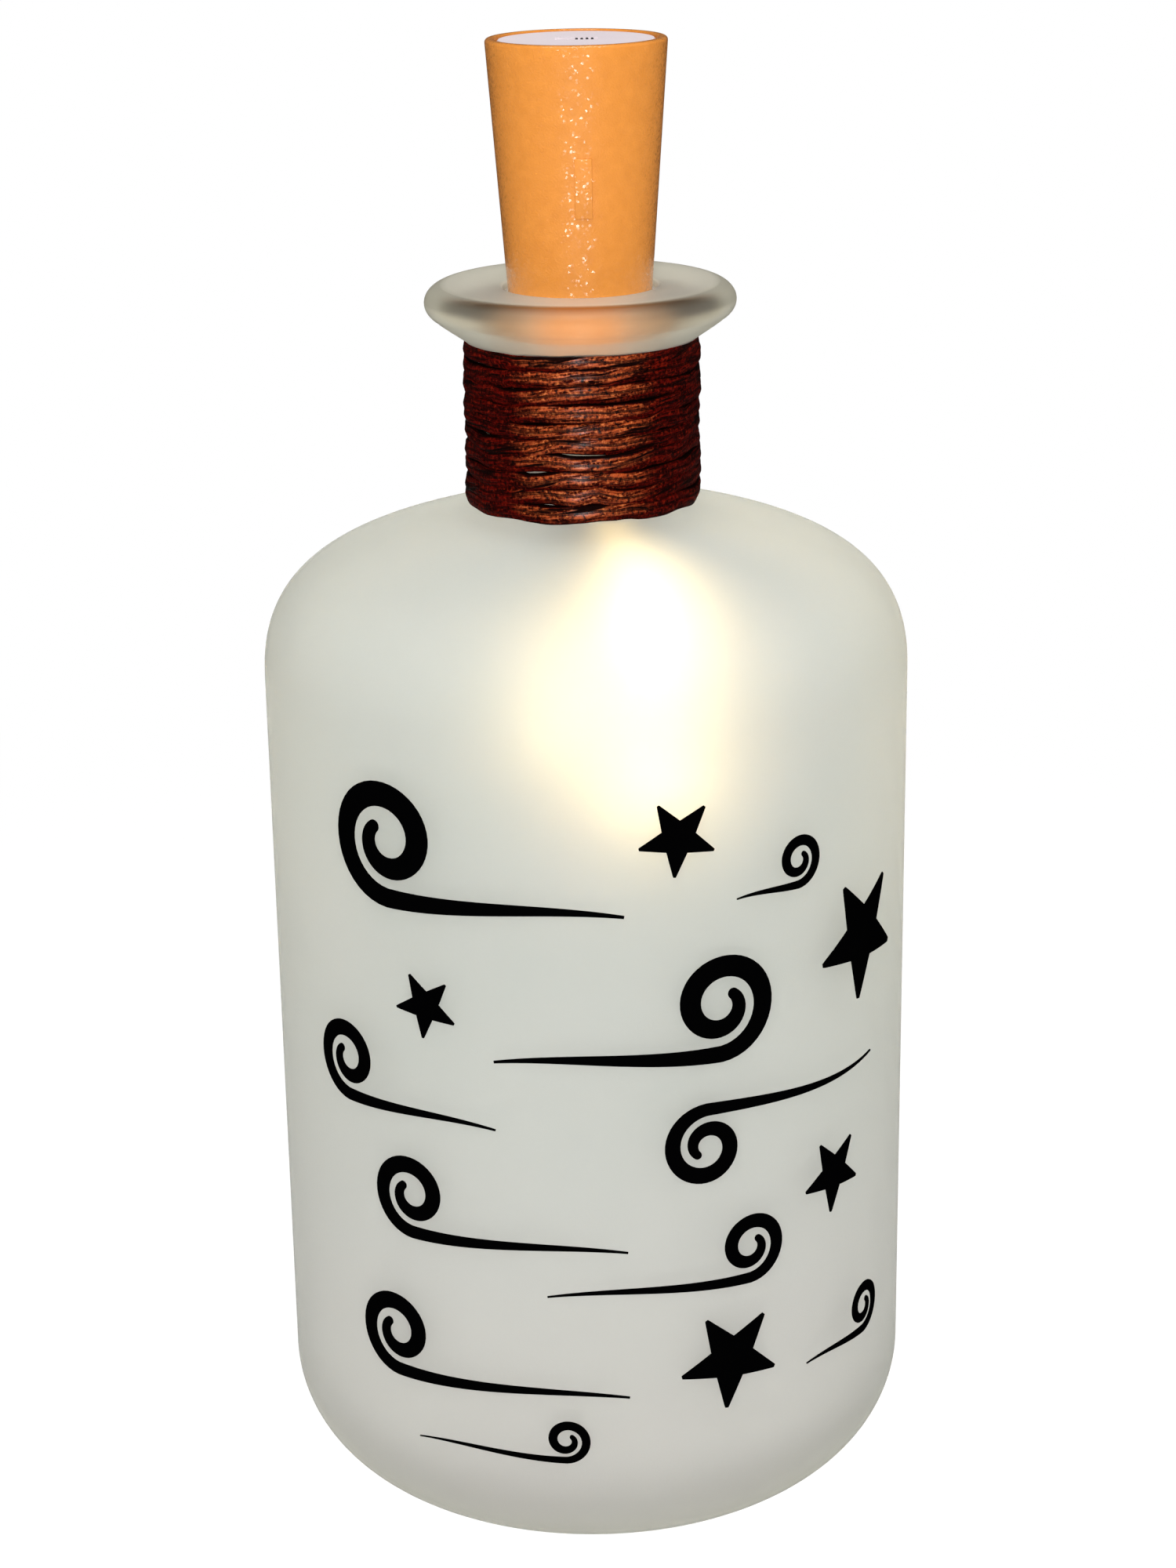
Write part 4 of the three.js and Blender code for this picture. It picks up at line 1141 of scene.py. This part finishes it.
def make_insert():
    body = turned([(0, CARRIER_BOTTOM_Z), (CARRIER_RADIUS, CARRIER_BOTTOM_Z), (CARRIER_RADIUS, HEAD_BOTTOM_Z),
                   (HEAD_RADIUS, HEAD_BOTTOM_Z), (HEAD_RADIUS, HEAD_TOP_Z - 0.3),
                   (HEAD_RADIUS - 0.3, HEAD_TOP_Z), (0, HEAD_TOP_Z)], 96)
    bay = drum(BAY_RADIUS, CARRIER_FLOOR_Z, PARTITION_BOTTOM_Z)
    window = box((2 * BAY_RADIUS, 2 * CARRIER_RADIUS, PARTITION_BOTTOM_Z - CARRIER_FLOOR_Z),
                 (0, -CARRIER_RADIUS, CARRIER_FLOOR_Z))
    switch_bay = drum(BAY_RADIUS, PARTITION_TOP_Z, HEAD_BOTTOM_Z)
    slot = box((5.2, 2.5, 2.4), (0, 0, HEAD_BOTTOM_Z - 0.3))
    groove = box((2.8, 1.9, PARTITION_TOP_Z - CARRIER_BOTTOM_Z + 0.6), (0, 6.75, CARRIER_BOTTOM_Z - 0.3))
    insert = carved("cell_carrier", body, (bay, window, switch_bay, slot, groove), 0.12, PALE_PLASTIC)
    place(insert, "insert", "pale_plastic", "battery_insert")


def make_cells():
    for number in range(1, 4):
        low = FIRST_CELL_Z + (number - 1) * CELL_STEP
        can = [(0, low), (5.3, low)] + arc(5.5, low + 0.3, 0.3, -90, 0, 5)
        can += arc(5.5, low + 4.4, 0.3, 0, 70, 4)
        seal = [(5.2, low + 4.72), (5.15, low + 4.62), (5.02, low + 4.62), (4.98, low + 4.8)]
        cap = arc(4.75, low + 5.15, 0.25, 0, 90, 4) + [(0, low + 5.4)]
        cell = new_piece(f"cell_{number}", turned(can + seal + cap, 72), STEEL)
        place(cell, "insert", "cell_steel", f"button_cell_{number}")


def make_contacts():
    turns, steps_in_turn = 4, 40
    foot, rise, radius, wire_radius = 156.35, 5.5, 3.4, 0.25
    coil = []
    for step in range(turns * steps_in_turn + 1):
        angle = tau * step / steps_in_turn
        height = foot + rise * step / (turns * steps_in_turn)
        coil.append(Vector((radius * cos(angle), radius * sin(angle), height)) * MM)
    spring = new_piece("pressure_spring", swept(coil, wire_radius * MM, 12), STEEL)
    place(spring, "insert", "cell_steel", "cell_spring")

    low, high, dent = 179.5, 180.0, 0.15
    outline = [(0, low), (4.9, low), (5.0, low + 0.1), (5.0, high - 0.1), (4.9, high), (3.4, high),
               (3.1, high - dent), (0, high - dent)]
    plate = new_piece("upper_contact", turned(outline, 64), BRASS)
    place(plate, "insert", "contact_brass", "cell_contact_plate")
    strip = box((2.2, 0.5, PARTITION_TOP_Z - CARRIER_BOTTOM_Z), (0, 6.575, CARRIER_BOTTOM_Z), 0.1)
    place(new_piece("back_contact", strip, BRASS), "insert", "contact_brass", "contact_strip")


def make_switch():
    body = box((8.6, 3.8, 3.6), (0, 0, 181.8))
    slot = box((4.0, 1.5, 2.2), (0, 0, 183.5))
    switch = carved("slide_switch", body, (slot,), 0.15, CHIP_BLACK)
    place(switch, "insert", "chip_black", "switch_body")

    grip = [box((2.6, 1.9, 1.45), (KNOB_X, 0, HEAD_BOTTOM_Z), 0.12)]
    for x in (-0.95, -0.32, 0.32, 0.95):
        grip.append(box((0.34, 1.7, 0.5), (KNOB_X + x, 0, HEAD_BOTTOM_Z + 1.3), 0.1))
    grip.append(box((1.4, 0.9, 2.1), (KNOB_X, 0, 183.8), 0.08))
    place(new_piece("slide_knob", joined(grip), CHIP_BLACK), "knob", "chip_black", "switch_knob")


make_insert()
make_cells()
make_contacts()
make_switch()


# Floor, lights and world

SOFTBOXES = (
    # name, place, size, power, seen in reflections, seen through glass
    ("front_softbox", (-0.03, -0.9, 0.5), 0.18, 5.5, False, False),
    ("low_softbox", (-0.01, -0.95, 0.065), 0.12, 1.7, True, False),
    ("top_softbox", (0.0, -0.25, 1.0), 0.5, 4.5, True, True),
    ("left_softbox", (-0.95, -0.15, 0.6), 0.7, 1.3, False, True),
    ("right_softbox", (0.95, 0.05, 0.6), 0.7, 2.3, False, True),
)
LIT_SPOT = Vector((0, 0, 0.1))
FLOOR_RADIUS = 4
FLOOR_Z = -0.0003


def seen_share(tree):
    """1 for rays from the camera and for those that glass sends on, and 0 for others."""
    path = node(tree, "LightPath")
    return maths("MAXIMUM", path["Is Camera Ray"], path["Is Transmission Ray"])


def pale_floor(tree, shader):
    """A white floor that keeps a soft shadow near the object."""
    tree.nodes.remove(shader)
    from_middle = node(tree, "VectorMath", object_spot(tree), operation="LENGTH")["Value"]
    far = between(from_middle, 0.06, 0.35)
    mirrored = node(tree, "LightPath")["Is Glossy Ray"]
    lit = node(tree, "BsdfDiffuse", Color=blended(mirrored, grey(0.8), grey(0.08)))[0]
    shade = node(tree, "BsdfDiffuse", Color=blended(far, grey(0.25), grey(0)))[0]
    white = node(tree, "Emission", Color=grey(1), Strength=ranged(far, 0.8, 1.0))[0]
    both = node(tree, "AddShader", shade, white)[0]
    shown(tree, node(tree, "MixShader", seen_share(tree), lit, both)[0])


def add_floor():
    bm = bmesh.new()
    bmesh.ops.create_circle(bm, cap_ends=True, segments=96, radius=FLOOR_RADIUS)
    bmesh.ops.translate(bm, verts=bm.verts, vec=(0, 0, FLOOR_Z))
    new_piece("floor", bm, new_material("pale_floor", pale_floor))


def add_softboxes():
    for name, spot, size, power, mirrored, through in SOFTBOXES:
        data = bpy.data.lights.new(name, "AREA")
        data.shape = "DISK"
        data.size = size
        data.energy = power
        lamp = linked(name, data)
        lamp.location = spot
        lamp.visible_glossy = mirrored
        lamp.visible_transmission = through
        lamp.rotation_euler = (LIT_SPOT - Vector(spot)).to_track_quat("-Z", "Y").to_euler()


def add_world():
    world = bpy.data.worlds.new("studio")
    world.use_nodes = True
    tree = world.node_tree
    around = ranged(node(tree, "LightPath")["Is Glossy Ray"], 0.3, 0.06)
    give(tree.nodes["Background"], Color=grey(1), Strength=ranged(seen_share(tree), around, 1.0))
    bpy.context.scene.world = world


add_floor()
add_softboxes()
add_world()

bpy.context.scene.view_settings.view_transform = "Standard"
